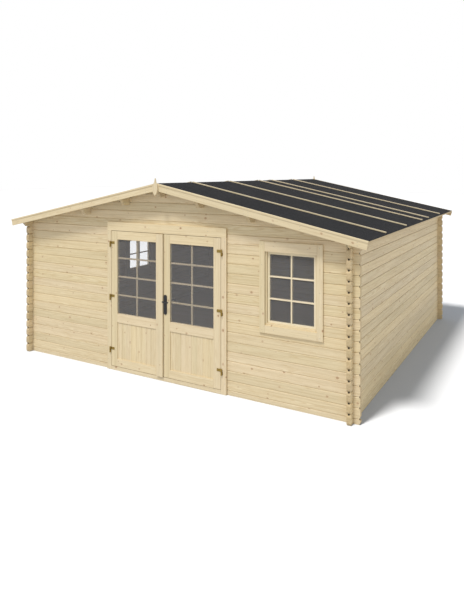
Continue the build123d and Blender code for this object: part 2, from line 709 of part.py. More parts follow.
def frame_hinge(side, height):
    """The jamb's half of a hinge: a plate, the lower knuckle and the pin."""
    high = height - KNUCKLE_GAP / 2
    middle = high - KNUCKLE_LENGTH / 2
    with BuildPart() as half:
        with BuildSketch(Plane.XY.offset(high - KNUCKLE_LENGTH)):
            with Locations((side * hinge_x, hinge_y)):
                Circle(KNUCKLE_RADIUS)
        extrude(amount=KNUCKLE_LENGTH)
        with BuildSketch(Plane.XY.offset(high)):
            with Locations((side * hinge_x, hinge_y)):
                Circle(PIN_RADIUS)
        extrude(amount=KNUCKLE_GAP + PIN_LENGTH - PIN_CLEARANCE)
        with BuildSketch(Plane.XY.offset(middle - FLAP_HEIGHT / 2)):
            with Locations((side * (hinge_x + FRAME_PLATE_LENGTH / 2), leaf_face - FLAP_THICKNESS / 2)):
                Rectangle(FRAME_PLATE_LENGTH, FLAP_THICKNESS)
            with Locations((side * hinge_x, (hinge_y + leaf_face) / 2)):
                Rectangle(FLAP_SEAT, leaf_face - hinge_y)
        extrude(amount=FLAP_HEIGHT)
    return half.part


left_leaf_halves = [leaf_hinge(-1, height) for height in HINGE_HEIGHTS]
right_leaf_halves = [leaf_hinge(1, height) for height in HINGE_HEIGHTS]
frame_halves = [frame_hinge(side, height) for side in (-1, 1) for height in HINGE_HEIGHTS]
with BuildPart() as left_leaf_hinges:
    add(left_leaf_halves)
with BuildPart() as right_leaf_hinges:
    add(right_leaf_halves)
with BuildPart() as frame_hinges:
    add(frame_halves)

# Handle plates on both faces of the right leaf
with BuildPart() as handle_plates:
    for back in (leaf_face, leaf_back + PLATE_THICKNESS):
        with BuildSketch(Plane.XZ.offset(-back)):
            with Locations((plate_middle, plate_height)):
                SlotOverall(PLATE_LENGTH, PLATE_WIDTH, rotation=90)
            with Locations((spindle_x, SPINDLE_HEIGHT)):
                Circle(SPINDLE_RADIUS + SPINDLE_CLEARANCE, mode=Mode.SUBTRACT)
        extrude(amount=PLATE_THICKNESS)

# Lever handle: a spindle through the leaf and a lever on each face
lever_reach = LEVER_STAND_OFF + LEVER_DEPTH
lever_middle = spindle_x + LEVER_LENGTH / 2 - LEVER_HEIGHT / 2
with BuildPart() as door_lever:
    with BuildSketch(Plane.XZ.offset(-(leaf_back + lever_reach))):
        with Locations((spindle_x, SPINDLE_HEIGHT)):
            Circle(SPINDLE_RADIUS)
    extrude(amount=LEAF_THICKNESS + 2 * lever_reach)
    for back in (leaf_face - LEVER_STAND_OFF, leaf_back + lever_reach):
        with BuildSketch(Plane.XZ.offset(-back)):
            with Locations((lever_middle, SPINDLE_HEIGHT)):
                SlotOverall(LEVER_LENGTH, LEVER_HEIGHT)
        extrude(amount=LEVER_DEPTH)


def ring(plane, back, thickness, outer, inner):
    """Two uprights and the two boards between them, from back outwards.

    outer and inner are rectangles: left, right, low, high.
    """
    left, right, low, high = outer
    in_left, in_right, in_low, in_high = inner
    boards = [(left, in_left, low, high), (in_right, right, low, high),
              (in_left + JOINT_GAP, in_right - JOINT_GAP, low, in_low),
              (in_left + JOINT_GAP, in_right - JOINT_GAP, in_high, high)]
    with BuildPart() as four:
        with BuildSketch(plane.offset(-back)):
            for from_x, to_x, from_z, to_z in boards:
                with Locations(((from_x + to_x) / 2, (from_z + to_z) / 2)):
                    Rectangle(to_x - from_x, to_z - from_z)
        extrude(amount=thickness)
    return four.part


def window_frame(plane, low):
    """The lining in the gap between the logs and the casings on both faces of the wall."""
    high = low + WINDOW_ROWS * LOG_HEIGHT - LOG_GAP
    half = WINDOW_WIDTH / 2
    clear = LINING_CLEARANCE
    lining = ring(plane, WALL_THICKNESS - clear, WALL_THICKNESS - 2 * clear,
                  (clear - half, half - clear, low + clear, high - clear),
                  (LINING - half, half - LINING, low + LINING, high - LINING))
    around = (-half - CASING_SIDE, half + CASING_SIDE, low - CASING_BOTTOM, high + CASING_TOP)
    lap = half - CASING_LAP
    outside = ring(plane, 0, CASING_THICKNESS, around,
                   (-lap, lap, low + CASING_LAP, high - CASING_LAP - CASING_TOP_DROP))
    inside = ring(plane, WALL_THICKNESS + CASING_THICKNESS, CASING_THICKNESS, around,
                  (-lap, lap, low + CASING_LAP, high - CASING_LAP))
    return [lining, outside, inside]


def sash_edges(low):
    """The sash's outer rectangle and its glass opening."""
    high = low + WINDOW_ROWS * LOG_HEIGHT - LOG_GAP
    half = WINDOW_WIDTH / 2 - LINING - SASH_CLEARANCE
    foot = low + LINING + SASH_CLEARANCE
    top = high - LINING - SASH_CLEARANCE
    middle = (foot + top) / 2
    return middle, 2 * half, top - foot


def window_sash(plane, low):
    """The sash with its glazing bars in front of the glass and behind it."""
    middle, width, height = sash_edges(low)
    opening_width = width - 2 * SASH_MEMBER
    opening_height = height - 2 * SASH_MEMBER
    sash_back = SASH_SET_BACK + SASH_THICKNESS
    glass_bed = SASH_BAR_DEPTH + GLASS + 2 * GLASS_CLEARANCE
    with BuildPart() as sash:
        with BuildSketch(plane.offset(-sash_back)):
            with Locations((0, middle)):
                Rectangle(width, height)
                Rectangle(opening_width, opening_height, mode=Mode.SUBTRACT)
        extrude(amount=SASH_THICKNESS)
        for back, depth in ((SASH_SET_BACK + SASH_BAR_DEPTH, SASH_BAR_DEPTH),
                            (sash_back, SASH_THICKNESS - glass_bed)):
            with BuildSketch(plane.offset(-back)):
                with Locations((0, middle)):
                    with GridLocations(opening_width / SASH_COLUMNS, 0, SASH_COLUMNS - 1, 1):
                        Rectangle(SASH_BAR, opening_height)
                    with GridLocations(0, opening_height / SASH_ROWS, 1, SASH_ROWS - 1):
                        Rectangle(opening_width, SASH_BAR)
            extrude(amount=depth)
    return sash.part


def window_glass(plane, low):
    """The sheet of glass between the bars."""
    middle, width, height = sash_edges(low)
    shrink = 2 * (SASH_MEMBER + GLASS_CLEARANCE)
    with BuildPart() as glass:
        with BuildSketch(plane.offset(-(SASH_SET_BACK + SASH_BAR_DEPTH + GLASS_CLEARANCE + GLASS))):
            with Locations((0, middle)):
                Rectangle(width - shrink, height - shrink)
        extrude(amount=GLASS)
    return glass.part


# Windows, each in its gap between the logs
front_window_plane = Plane(origin=(WINDOW_PLACE, face, 0), x_dir=(1, 0, 0), z_dir=(0, -1, 0))
left_window_plane = Plane(origin=(-half_out, 0, 0), x_dir=(0, -1, 0), z_dir=(-1, 0, 0))
front_window_low = row_bottom(WINDOW_FIRST_ROW, True)
left_window_low = row_bottom(WINDOW_FIRST_ROW, False)
front_frame_boards = window_frame(front_window_plane, front_window_low)
left_frame_boards = window_frame(left_window_plane, left_window_low)
front_sash = window_sash(front_window_plane, front_window_low)
left_sash = window_sash(left_window_plane, left_window_low)
front_pane = window_glass(front_window_plane, front_window_low)
left_pane = window_glass(left_window_plane, left_window_low)
with BuildPart() as front_window_frame:
    add(front_frame_boards)
with BuildPart() as left_window_frame:
    add(left_frame_boards)
with BuildPart() as front_window_sash:
    add(front_sash)
with BuildPart() as left_window_sash:
    add(left_sash)
with BuildPart() as front_window_glass:
    add(front_pane)
with BuildPart() as left_window_glass:
    add(left_pane)

pieces = {
    "floor_joists": floor_joists,
    "floor_boards": floor_boards,
    "front_wall_left": front_wall_left,
    "front_wall_right": front_wall_right,
    "front_gable": front_gable,
    "rear_wall": rear_wall,
    "rear_gable": rear_gable,
    "left_wall": left_wall,
    "right_wall": right_wall,
    "purlins": purlins,
    "left_roof_boards": left_roof_boards,
    "right_roof_boards": right_roof_boards,
    "roof_felt": roof_felt,
    "roof_battens": roof_battens,
    "front_barge_boards": front_barge_boards,
    "rear_barge_boards": rear_barge_boards,
    "finials": finials,
    "left_jamb": left_jamb,
    "right_jamb": right_jamb,
    "door_head": door_head,
    "threshold": threshold,
    "frame_hinges": frame_hinges,
    "front_window_frame": front_window_frame,
    "front_window_sash": front_window_sash,
    "front_window_glass": front_window_glass,
    "left_window_frame": left_window_frame,
    "left_window_sash": left_window_sash,
    "left_window_glass": left_window_glass,
    "left_leaf_frame": left_leaf_frame,
    "left_leaf_panel": left_leaf_panel,
    "left_leaf_glass": left_leaf_glass,
    "left_leaf_bars": left_leaf_bars,
    "left_leaf_hinges": left_leaf_hinges,
    "meeting_strip": meeting_strip,
    "right_leaf_frame": right_leaf_frame,
    "right_leaf_panel": right_leaf_panel,
    "right_leaf_glass": right_leaf_glass,
    "right_leaf_bars": right_leaf_bars,
    "right_leaf_hinges": right_leaf_hinges,
    "handle_plates": handle_plates,
    "door_lever": door_lever,
}

os.makedirs("parts", exist_ok=True)
for name, piece in pieces.items():
    piece.part.label = name
    export_step(piece.part, f"parts/{name}.step")
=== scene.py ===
"""Looks of the log garden house: pine logs and joinery, mineral felt, glass, brass hinges and a black handle.

Metres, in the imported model's frame: X to the right of someone facing the doors, Y from the doors to the
rear wall, Z up, origin on the ground under the middle of the house.
"""
import math

import bmesh
import bpy
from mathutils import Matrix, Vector


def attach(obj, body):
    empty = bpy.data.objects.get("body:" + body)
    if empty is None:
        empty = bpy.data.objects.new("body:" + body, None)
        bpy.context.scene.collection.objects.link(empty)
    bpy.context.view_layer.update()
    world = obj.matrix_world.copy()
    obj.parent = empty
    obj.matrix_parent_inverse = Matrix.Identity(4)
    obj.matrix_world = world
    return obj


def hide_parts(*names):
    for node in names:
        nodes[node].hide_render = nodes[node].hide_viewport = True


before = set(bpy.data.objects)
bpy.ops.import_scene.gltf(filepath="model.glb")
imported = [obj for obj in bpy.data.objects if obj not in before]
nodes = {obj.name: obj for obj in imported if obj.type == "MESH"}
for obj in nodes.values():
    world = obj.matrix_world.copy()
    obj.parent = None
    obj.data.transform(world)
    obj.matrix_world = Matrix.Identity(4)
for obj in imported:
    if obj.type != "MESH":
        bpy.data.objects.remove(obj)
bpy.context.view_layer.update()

# Camera, as the photo was taken
PHOTO_HEIGHT = 600
FOCAL_PIXELS = 561.65
HORIZON_PIXEL = 172.4
SENSOR_HEIGHT = 36
CAMERA_PLACE = (4.2395, -8.075, 2.597)
CAMERA_YAW = math.radians(29.97)

# Light
SUN_FROM = Vector((-0.16, -0.53, 1.0))
SUN_STRENGTH = 2.25
SUN_ANGLE = math.radians(11)
GROUND_SUN_STRENGTH = 4.4
GROUND_SUN_COLOUR = (1.0, 0.89, 0.75)
SIDE_FROM = Vector((1.0, 0.25, 0.3))
SIDE_STRENGTH = 0.36
SIDE_ANGLE = math.radians(60)
SKY_STRENGTH = 0.70
SKY_COLOUR = (0.97, 0.985, 1.0)
WHITE = (1.0, 1.0, 1.0)
GROUND_REACH = 60.0
GROUND_DROP = 0.001                     # under the house, so that the two don't touch
GROUND_SEEN = (0.43, 0.457, 0.50)       # to the camera
GROUND_LIT = (0.297, 0.32, 0.356)       # to the light that it throws back on the house

# Walls and roof
LOG = 0.1136                            # height of a row
HALF_LOG = LOG / 2
WALL_FACE = -2.422                      # outer face of the front and the left wall
WALL_MIDDLE = 2.4
GROOVE_HALF = 0.0093                    # half width of the hollow between two rows
RIDGE = 2.464                           # top of the felt
ROOF_SLOPE = math.tan(math.radians(11.8))
# the joint shades: half width and strength of painted shade along the joint between two rows or boards
FRONT_JOINT_SHADE = (0.0035, 0.05)             # half width and strength of the dark line between two rows
SIDE_JOINT_SHADE = (0.0045, 0.40)
BEAM_PITCH = 0.573
BEAM_START = 0.28
ROOF_BOARD = 0.09
ROOF_JOINT_SHADE = (0.003, 0.7)
FLOOR_BOARD = 0.088
FLOOR_JOINT_SHADE = (0.002, 0.7)
BARGE_MIDDLE = 2.58                     # through the barge boards' thickness
BARGE_BELOW = 0.05                      # from the felt's top to the boards' middle
BATTEN_ABOVE = 0.01

# Doors and windows
DOOR_MIDDLE = -2.43                     # through the thickness of the leaves and their frame
LEAF_X = 0.425
LEAF_OPENING = 0.3157                   # half of the width between a leaf's stiles
HALF_STILE = 0.04
LEAF_RAIL_CELL = 0.29                   # each cell up a leaf holds one rail
LEAF_RAIL_START = -0.025
LEAF_BAR_HALF = 0.011
LEAF_BAR_CELL = 0.24
LEAF_BAR_START = 0.65
PANEL_BOARD = 0.0789
PANEL_START = 0.109
HEAD_BOARD = 0.27                       # keeps the door head and the threshold on boards of their own
HEAD_START = 0.10
UPRIGHT_BOARD = 0.31
CASING_MIDDLE = -2.42
SASH_MIDDLE = -2.39
WINDOW_X = 1.722
LEFT_WINDOW_DROP = 0.06                 # of the left window's boards, against the front one's
CASING_OPENING = 0.311
CASING_CELL = 0.30
CASING_START = 0.62
LINING_OPENING = 0.291
SASH_OPENING = 0.2645
SASH_BAR_HALF = 0.0095
SASH_CELL = 0.25
SASH_START = 0.68

# Hinges and handle
HINGE_HEIGHTS = (0.263, 0.955, 1.655)
HINGE_X = 0.856
HINGE_Y = -2.459
HINGE_TIP = 0.0353                      # from a hinge's middle to the foot of its dome
DOME_SHAPE = ((0.0, 0.0089), (0.0012, 0.0086), (0.0030, 0.0070), (0.0042, 0.0045), (0.0046, 0.0015))
SPINDLE_X = 0.0405
SPINDLE_Z = 1.000
PLATE_FACES = ((-2.454, -1), (-2.400, 1))
PLATE_SINK = 0.001                      # how deep a fitting starts in its plate
CYLINDER_DROP = 0.072
COLLAR_SHAPE = ((0.0, 0.0155), (0.003, 0.0152), (0.0052, 0.0135), (0.0062, 0.0112), (0.0062, 0.0088),
                (0.001, 0.0086))
CYLINDER_SHAPE = ((0.0, 0.0085), (0.0028, 0.0085), (0.0034, 0.0079), (0.0034, 0.0052), (0.0030, 0.0050),
                  (0.0030, 0.0012))
GRIP_PLACES = (-2.510, -2.344)          # Y of the outer and the inner grip
GRIP_HALF_DEPTH = 0.0069
GRIP_HALF_HEIGHT = 0.0104
# X along the grip, then the share of its half depth and half height
GRIP_SHAPE = ((0.0306, 0.2, 0.2), (0.0330, 0.62, 0.62), (0.0375, 0.88, 0.88), (0.0450, 1.0, 1.0),
              (0.0600, 0.96, 0.94), (0.0820, 0.86, 0.88), (0.1020, 0.84, 0.88), (0.1170, 0.90, 0.94),
              (0.1240, 0.86, 0.88), (0.1265, 0.66, 0.68), (0.1276, 0.25, 0.25))
# distance from the outer grip's middle, then the radius
NECK_SHAPE = ((0.0, 0.0062), (0.004, 0.0078), (0.030, 0.0062), (0.048, 0.0064), (0.062, 0.0078),
              (0.104, 0.0078), (0.118, 0.0064), (0.136, 0.0062), (0.162, 0.0078), (0.166, 0.0062))
TURNED_SIDES = 28
GRIP_SIDES = 24

# Eased edges
FACET_JOIN = 0.00002
EDGE_ANGLE = math.radians(40)

# Nails and screws
NAIL = dict(Head_Radius=0.0034, Head_Height=0.0006, Dome=0.0006, Crossed=False)
SCREW = dict(Head_Radius=0.0040, Head_Height=0.0006, Dome=0.0008, Slot_Depth=0.9, Crossed=True)
HEAD_SINK = 0.0002                      # how deep a screw's head starts in its plate
HEAD_POINTS = 6                         # along each side of the block that a head is pressed from
CROSS_HALF = 0.1                        # of the block's half width
CROSS_REACH = 0.6
BLOCK_TOP = 0.4                         # faces above this are the block's top
BARGE_FACE = 2.5888
BARGE_NAILS_OUT = (0.16, 0.60, 1.22, 1.28, 1.90, 2.52)
BARGE_NAILS_BELOW = (0.040, 0.074)
FINIAL_FACE = 2.6096
FINIAL_NAIL_OUT = 0.012
FINIAL_NAIL_HEIGHT = 2.425
BATTEN_PLACES = (-1.802, -0.812, 0.148, 0.618, 1.518)
BATTEN_TOP = 0.0141
BATTEN_NAIL_COUNT = 7
BATTEN_NAIL_FIRST = 0.12
BATTEN_NAIL_STEP = 0.39
CASING_FACE = -2.4398
CASING_NAIL_ASIDE = 0.345
CASING_NAIL_HEIGHTS = (0.83, 1.06, 1.31, 1.56, 1.79)
CASING_RAIL_NAILS_X = (1.52, 1.93)
CASING_RAIL_NAILS_Z = (0.841, 1.771)
JAMB_FACE = -2.4468
JAMB_NAIL_X = 0.895
JAMB_NAIL_HEIGHTS = (0.13, 0.55, 1.20, 1.52, 1.79)
DOOR_HEAD_NAILS_X = (-0.66, -0.22, 0.22, 0.66)
DOOR_HEAD_NAIL_Z = 1.895
FLAP_FACE = -2.4499
FLAP_RISE = 0.018                       # of a hinge flap's middle over the hinge's middle
FLAP_SCREWS = ((0.798, 0.008), (0.798, -0.008), (0.821, 0.0))
PLATE_SCREW_HEIGHTS = (0.846, 1.062)

# Colours, linear
PINE_PALE = (0.767, 0.641, 0.418)
PINE_LATE = (0.604, 0.452, 0.245)
PINE_STREAK = (0.620, 0.490, 0.290)
PINE_KNOT_DARK = (0.290, 0.155, 0.080)
PINE_KNOT_RED = (0.480, 0.290, 0.160)
PINE_HALO = (0.660, 0.480, 0.290)
PINE_END = (0.80, 0.76, 0.70)
# painted shade along the joints between boards
PINE_JOINT_SHADE = (0.200, 0.150, 0.090)
# painted shade inside the grooves between rows
PINE_SHADE = (0.085, 0.060, 0.040)
BATTEN_TINT = (0.86, 0.87, 0.89)
# painted shade: the door's glazing bars darker than the rest of the leaves, for their dimness behind the
# glass
DOOR_BAR_SHADE = (0.72, 0.71, 0.70)
SASH_TINT = (1.08, 1.12, 1.20)
FELT_DARK = (0.010, 0.010, 0.0106)
FELT_LIGHT = (0.037, 0.037, 0.0395)
FELT_CLOUD = (0.030, 0.030, 0.0315)
PANE_GREY = (0.38, 0.372, 0.372, 1)
CLEAR_GREY = (0.44, 0.435, 0.43, 1)
BRASS_BRIGHT = (0.40, 0.275, 0.075)
BRASS_DULL = (0.27, 0.18, 0.05)
IRON_DARK = (0.010, 0.010, 0.011)
IRON_LIGHT = (0.022, 0.022, 0.024)
ZINC_CLEAN = (0.46, 0.44, 0.41)
ZINC_STAINED = (0.34, 0.28, 0.21)

# Pine's grain. A stretch says how fast a noise changes along, across and through a board.
TREE_SHIFT = 37.0                       # how far along the grain two boards' figures can start apart
KNOTS_ALONG = 2.2                       # cells per metre that may hold a knot
KNOTS_ACROSS = 9.0
KNOT_ROW_SHIFT = 3.7                    # in cells, from one board to the next
KNOT_SQUASH = 0.8                       # knots are longer along the grain
KNOT_RADII = (0.0055, 0.0125)
KNOT_SHARE = 0.42                       # of the cells
RING_WIDTH = 0.0052
RING_WAVER = 0.35
PITH_WANDER = (0.10, 0.06)              # within a board, across and through it
PITH_PLACES = (0.13, 0.17)              # from board to board
DRIFT_STRETCH = (0.9, 3.0, 3.0)
FIBRE_STRETCH = (12.0, 420.0, 420.0)
STREAK_STRETCH = (1.1, 64.0, 42.0)
DASH_STRETCH = (5.5, 105.0, 105.0)
BROAD_STRETCH = (0.7, 6.0, 1.0)
LATE_STRENGTH = 0.42
STREAK_STRENGTH = 0.62
DASH_STRENGTH = 0.60
BOARD_TONE = 0.055
BROAD_TONE = 0.13
FIBRE_TONE = 0.12
RED_SPREAD = 0.016
BLUE_SPREAD = 0.07
SAWN_FACING = (0.55, 0.85)              # how far a face turns along the grain before it is a sawn end
# Bands of a noise, or of a distance, over which a mark comes in, or fades from one strength to another
STREAK_BAND = (0.40, 0.70)
DASH_BAND = (0.55, 0.74)
LATE_RISE = (0.30, 0.85)
LATE_FALL = (0.90, 1.0, 1.0, 0.0)
GRAIN_OPENS = (0.8, 3.6, 0.85, 0.0)     # distances from a knot in its own radii
HALO_FADE = (0.9, 2.6, 0.5, 0.0)
HEART_FADE = (0.80, 1.10, 0.85, 0.0)
RIM_RISE = (0.70, 0.95)
RIM_FALL = (0.95, 1.2, 0.45, 0.0)
KNOT_RINGS = 17.0                       # radians of ring per radius
KNOT_STRENGTHS = (0.35, 0.95)
CRACK_FADE = (0.0003, 0.0010, 0.6, 0.0)
CRACK_END = (0.04, 0.07, 1.0, 0.0)      # distances from the pith
AXES = "XYZ"


def make_camera():
    """A level camera, shifted down."""
    data = bpy.data.cameras.new("photo_camera")
    data.sensor_fit = "VERTICAL"
    data.sensor_height = SENSOR_HEIGHT
    data.lens = SENSOR_HEIGHT * FOCAL_PIXELS / PHOTO_HEIGHT
    data.shift_y = -(PHOTO_HEIGHT / 2 - HORIZON_PIXEL) / PHOTO_HEIGHT
    camera = bpy.data.objects.new("photo_camera", data)
    camera.location = CAMERA_PLACE
    camera.rotation_euler = (math.pi / 2, 0, CAMERA_YAW)
    bpy.context.scene.collection.objects.link(camera)
    bpy.context.scene.camera = camera


def make_sun(name, strength, source=SUN_FROM, angle=SUN_ANGLE, colour=WHITE):
    """A distant lamp; its angle sets how soft the shadows' edges are."""
    data = bpy.data.lights.new(name, "SUN")
    data.energy = strength
    data.angle = angle
    data.color = colour
    lamp = bpy.data.objects.new(name, data)
    lamp.rotation_mode = "QUATERNION"
    lamp.rotation_quaternion = source.normalized().to_track_quat("Z", "Y")
    bpy.context.scene.collection.objects.link(lamp)
    return lamp


def make_world():
    """An even sky. The camera, mirrors and glass see plain white."""
    world = bpy.data.worlds.new("studio")
    bpy.context.scene.world = world
    world.use_nodes = True
    tree = world.node_tree
    background = tree.nodes["Background"]
    path = tree.nodes.new("ShaderNodeLightPath")
    seen = add_math(tree, "MAXIMUM", path.outputs["Is Camera Ray"], path.outputs["Is Glossy Ray"])
    seen = add_math(tree, "MAXIMUM", seen, path.outputs["Is Transmission Ray"])
    feed(tree, background, "Color", add_mix(tree, seen, SKY_COLOUR, WHITE))
    feed(tree, background, "Strength", add_ramp(tree, seen, 0.0, 1.0, SKY_STRENGTH, 1.0, smooth=False))


def make_ground():
    """A plane that keeps the house's shadow, with a sun of its own so that it shows white."""
    mesh = bpy.data.meshes.new("ground")
    corners = [(x * GROUND_REACH, y * GROUND_REACH, 0) for x, y in ((-1, -1), (1, -1), (1, 1), (-1, 1))]
    mesh.from_pydata(corners, [], [(0, 1, 2, 3)])
    ground = bpy.data.objects.new("ground", mesh)
    ground.location.z = -GROUND_DROP
    material, tree, shader = new_material("white_ground")
    path = tree.nodes.new("ShaderNodeLightPath")
    feed(tree, shader, "Base Color", add_mix(tree, path.outputs["Is Camera Ray"], GROUND_LIT, GROUND_SEEN))
    shader.inputs["Roughness"].default_value = 0.9
    shader.inputs["Specular IOR Level"].default_value = 0.0
    mesh.materials.append(material)
    bpy.context.scene.collection.objects.link(ground)
    lit = bpy.data.collections.new("ground_only")
    lit.objects.link(ground)
    sun = make_sun("ground_sun", GROUND_SUN_STRENGTH, colour=GROUND_SUN_COLOUR)
    sun.light_linking.receiver_collection = lit


def set_input(tree, socket, value):
    """Sets a socket to a number, a colour or another node's socket."""
    if isinstance(value, (int, float, tuple)):
        socket.default_value = value
    else:
        tree.links.new(value, socket)


def feed(tree, node, name, value):
    """Sets a node's input by its name."""
    set_input(tree, node.inputs[name], value)


def add_math(tree, operation, *values):
    """A Math node on sockets or numbers."""
    node = tree.nodes.new("ShaderNodeMath")
    node.operation = operation
    for socket, value in zip(node.inputs, values):
        set_input(tree, socket, value)
    return node.outputs[0]


def times(tree, value, *factors):
    """A product of sockets and numbers."""
    for factor in factors:
        value = add_math(tree, "MULTIPLY", value, factor)
    return value


def plus(tree, value, *terms):
    """A sum of sockets and numbers."""
    for term in terms:
        value = add_math(tree, "ADD", value, term)
    return value


def minus(tree, value, taken):
    """A difference of sockets or numbers."""
    return add_math(tree, "SUBTRACT", value, taken)


def above(tree, value, level):
    """1 where value is greater than level, 0 elsewhere."""
    return add_math(tree, "GREATER_THAN", value, level)


def size_of(tree, value):
    """A number without its sign."""
    return add_math(tree, "ABSOLUTE", value)


def squared(tree, value):
    """The square of a socket's value."""
    return add_math(tree, "POWER", value, 2.0)


def distance(tree, across, up):
    """The distance to a point, from its two offsets."""
    return add_math(tree, "SQRT", plus(tree, squared(tree, across), squared(tree, up)))


def spread(tree, value, amount):
    """A number round zero from a value between 0 and 1."""
    return times(tree, minus(tree, value, 0.5), amount)


def add_node(tree, kind, settings=None, **inputs):
    """A node with its settings and inputs; an underscore in a name stands for a space."""
    node = tree.nodes.new(kind)
    for key, value in (settings or {}).items():
        setattr(node, key, value)
    for key, value in inputs.items():
        feed(tree, node, key.replace("_", " "), value)
    return node


def add_noise(tree, vector, detail=2.0, roughness=0.5, scale=1.0):
    """A noise texture's value, 0 to 1."""
    return add_node(tree, "ShaderNodeTexNoise", Vector=vector, Scale=scale, Detail=detail,
                    Roughness=roughness).outputs["Fac"]


def add_ramp(tree, value, low, high, to_low=0.0, to_high=1.0, smooth=True):
    """value from low..high to to_low..to_high, held at the ends."""
    node = add_node(tree, "ShaderNodeMapRange", {"interpolation_type": "SMOOTHSTEP" if smooth else "LINEAR"})
    feed(tree, node, "Value", value)
    for key, number in (("From Min", low), ("From Max", high), ("To Min", to_low), ("To Max", to_high)):
        feed(tree, node, key, number)
    return node.outputs["Result"]


def add_blend(tree, factor, a, b):
    """A number between a and b."""
    node = tree.nodes.new("ShaderNodeMix")
    for index, value in ((0, factor), (2, a), (3, b)):
        set_input(tree, node.inputs[index], value)
    return node.outputs[0]


def add_mix(tree, factor, a, b, blend="MIX"):
    """A colour mix. a and b are colours or sockets."""
    node = tree.nodes.new("ShaderNodeMix")
    node.data_type = "RGBA"
    node.blend_type = blend
    for index, value in ((0, factor), (6, a), (7, b)):
        if isinstance(value, tuple):
            value = (*value, 1.0)
        set_input(tree, node.inputs[index], value)
    return node.outputs[2]


def add_vector(tree, x, y, z):
    """A vector from three sockets or numbers."""
    return add_node(tree, "ShaderNodeCombineXYZ", X=x, Y=y, Z=z).outputs[0]


def split_vector(tree, vector):
    """A vector's three parts."""
    return add_node(tree, "ShaderNodeSeparateXYZ", Vector=vector).outputs


def split_colour(tree, colour):
    """A colour's three parts, which serve as three chances where the colour is random."""
    return add_node(tree, "ShaderNodeSeparateColor", Color=colour).outputs


def new_material(name):
    """A material with its node tree and Principled shader."""
    material = bpy.data.materials.new(name)
    material.use_nodes = True
    return material, material.node_tree, material.node_tree.nodes["Principled BSDF"]


def finish(tree, shader, colour, roughness, height=None, strength=0.0, depth=0.0):
    """Gives a shader its colour and roughness, and a fine relief where there is a height."""
    feed(tree, shader, "Base Color", colour)
    feed(tree, shader, "Roughness", roughness)
    if height:
        bump = add_node(tree, "ShaderNodeBump", Height=height, Strength=strength, Distance=depth)
        feed(tree, shader, "Normal", bump.outputs["Normal"])


def stacked(along, up, board, start=0.0, middle=0.0, mirrored=False):
    """Boards whose grain runs along one axis, stacked up another from start, middle through their thickness.

    mirrored boards lie on both sides of the house, at plus and minus middle.
    """
    through = next(axis for axis in AXES if axis not in (along, up))
    far_side_number = 57.0

    def place(tree, spot, facing):
        level = add_math(tree, "DIVIDE", minus(tree, spot[up], start), board)
        number = add_math(tree, "FLOOR", level)
        rise = spread(tree, add_math(tree, "FRACT", level), board)
        depth = spot[through]
        if mirrored:
            number = plus(tree, number, times(tree, above(tree, depth, 0.0), far_side_number))
            depth = size_of(tree, depth)
        return spot[along], rise, minus(tree, depth, middle), number, size_of(tree, facing[along])

    return place


def framed(side, centre, opening, middle, cell, start, bar_half=0.0, lining=None):
    """A frame: uprights beyond its opening, and rails between them, one in each cell from start.

    opening is half the width between the uprights, and lining the same for a lining back from the wall's
    face. bar_half is half the width of an upright bar in the middle.
    """
    through = next(axis for axis in AXES if axis not in (side, "Z"))
    stile_middle = opening + HALF_STILE
    upright_number = 91.0

    def place(tree, spot, facing):
        offset = minus(tree, spot[side], centre)
        away = size_of(tree, offset)
        inner = opening
        if lining:
            inner = add_blend(tree, above(tree, spot[through], WALL_FACE), opening, lining)
        rail = add_math(tree, "LESS_THAN", away, inner)
        if bar_half:
            rail = times(tree, rail, above(tree, away, bar_half))
        level = add_math(tree, "DIVIDE", minus(tree, spot["Z"], start), cell)
        beside = above(tree, offset, 0.0)
        run = add_blend(tree, rail, spot["Z"], spot[side])
        rise = add_blend(tree, rail, minus(tree, away, stile_middle),
                         spread(tree, add_math(tree, "FRACT", level), cell))
        number = add_blend(tree, rail, plus(tree, beside, upright_number), add_math(tree, "FLOOR", level))
        end = add_blend(tree, rail, facing["Z"], facing[side])
        return run, rise, minus(tree, spot[through], middle), number, size_of(tree, end)

    return place


def sloping(middle, below):
    """Boards that follow the roof's slope, at plus and minus middle along the house."""
    def place(tree, spot, facing):
        out = size_of(tree, spot["X"])
        rise = add_math(tree, "MULTIPLY_ADD", out, ROOF_SLOPE, minus(tree, spot["Z"], RIDGE - below))
        number = add_math(tree, "MULTIPLY_ADD", above(tree, spot["Y"], 0.0), 2.0, above(tree, spot["X"], 0.0))
        depth = minus(tree, size_of(tree, spot["Y"]), middle)
        return out, rise, depth, number, size_of(tree, facing["X"])

    return place


def grain_point(tree, grain, stretch, shift=0.0):
    """A point for a noise that is stretched along the grain."""
    run, rise, depth = grain
    along, across, through = stretch
    return add_vector(tree, times(tree, run, along), add_math(tree, "MULTIPLY_ADD", rise, across, shift),
                      times(tree, depth, through))


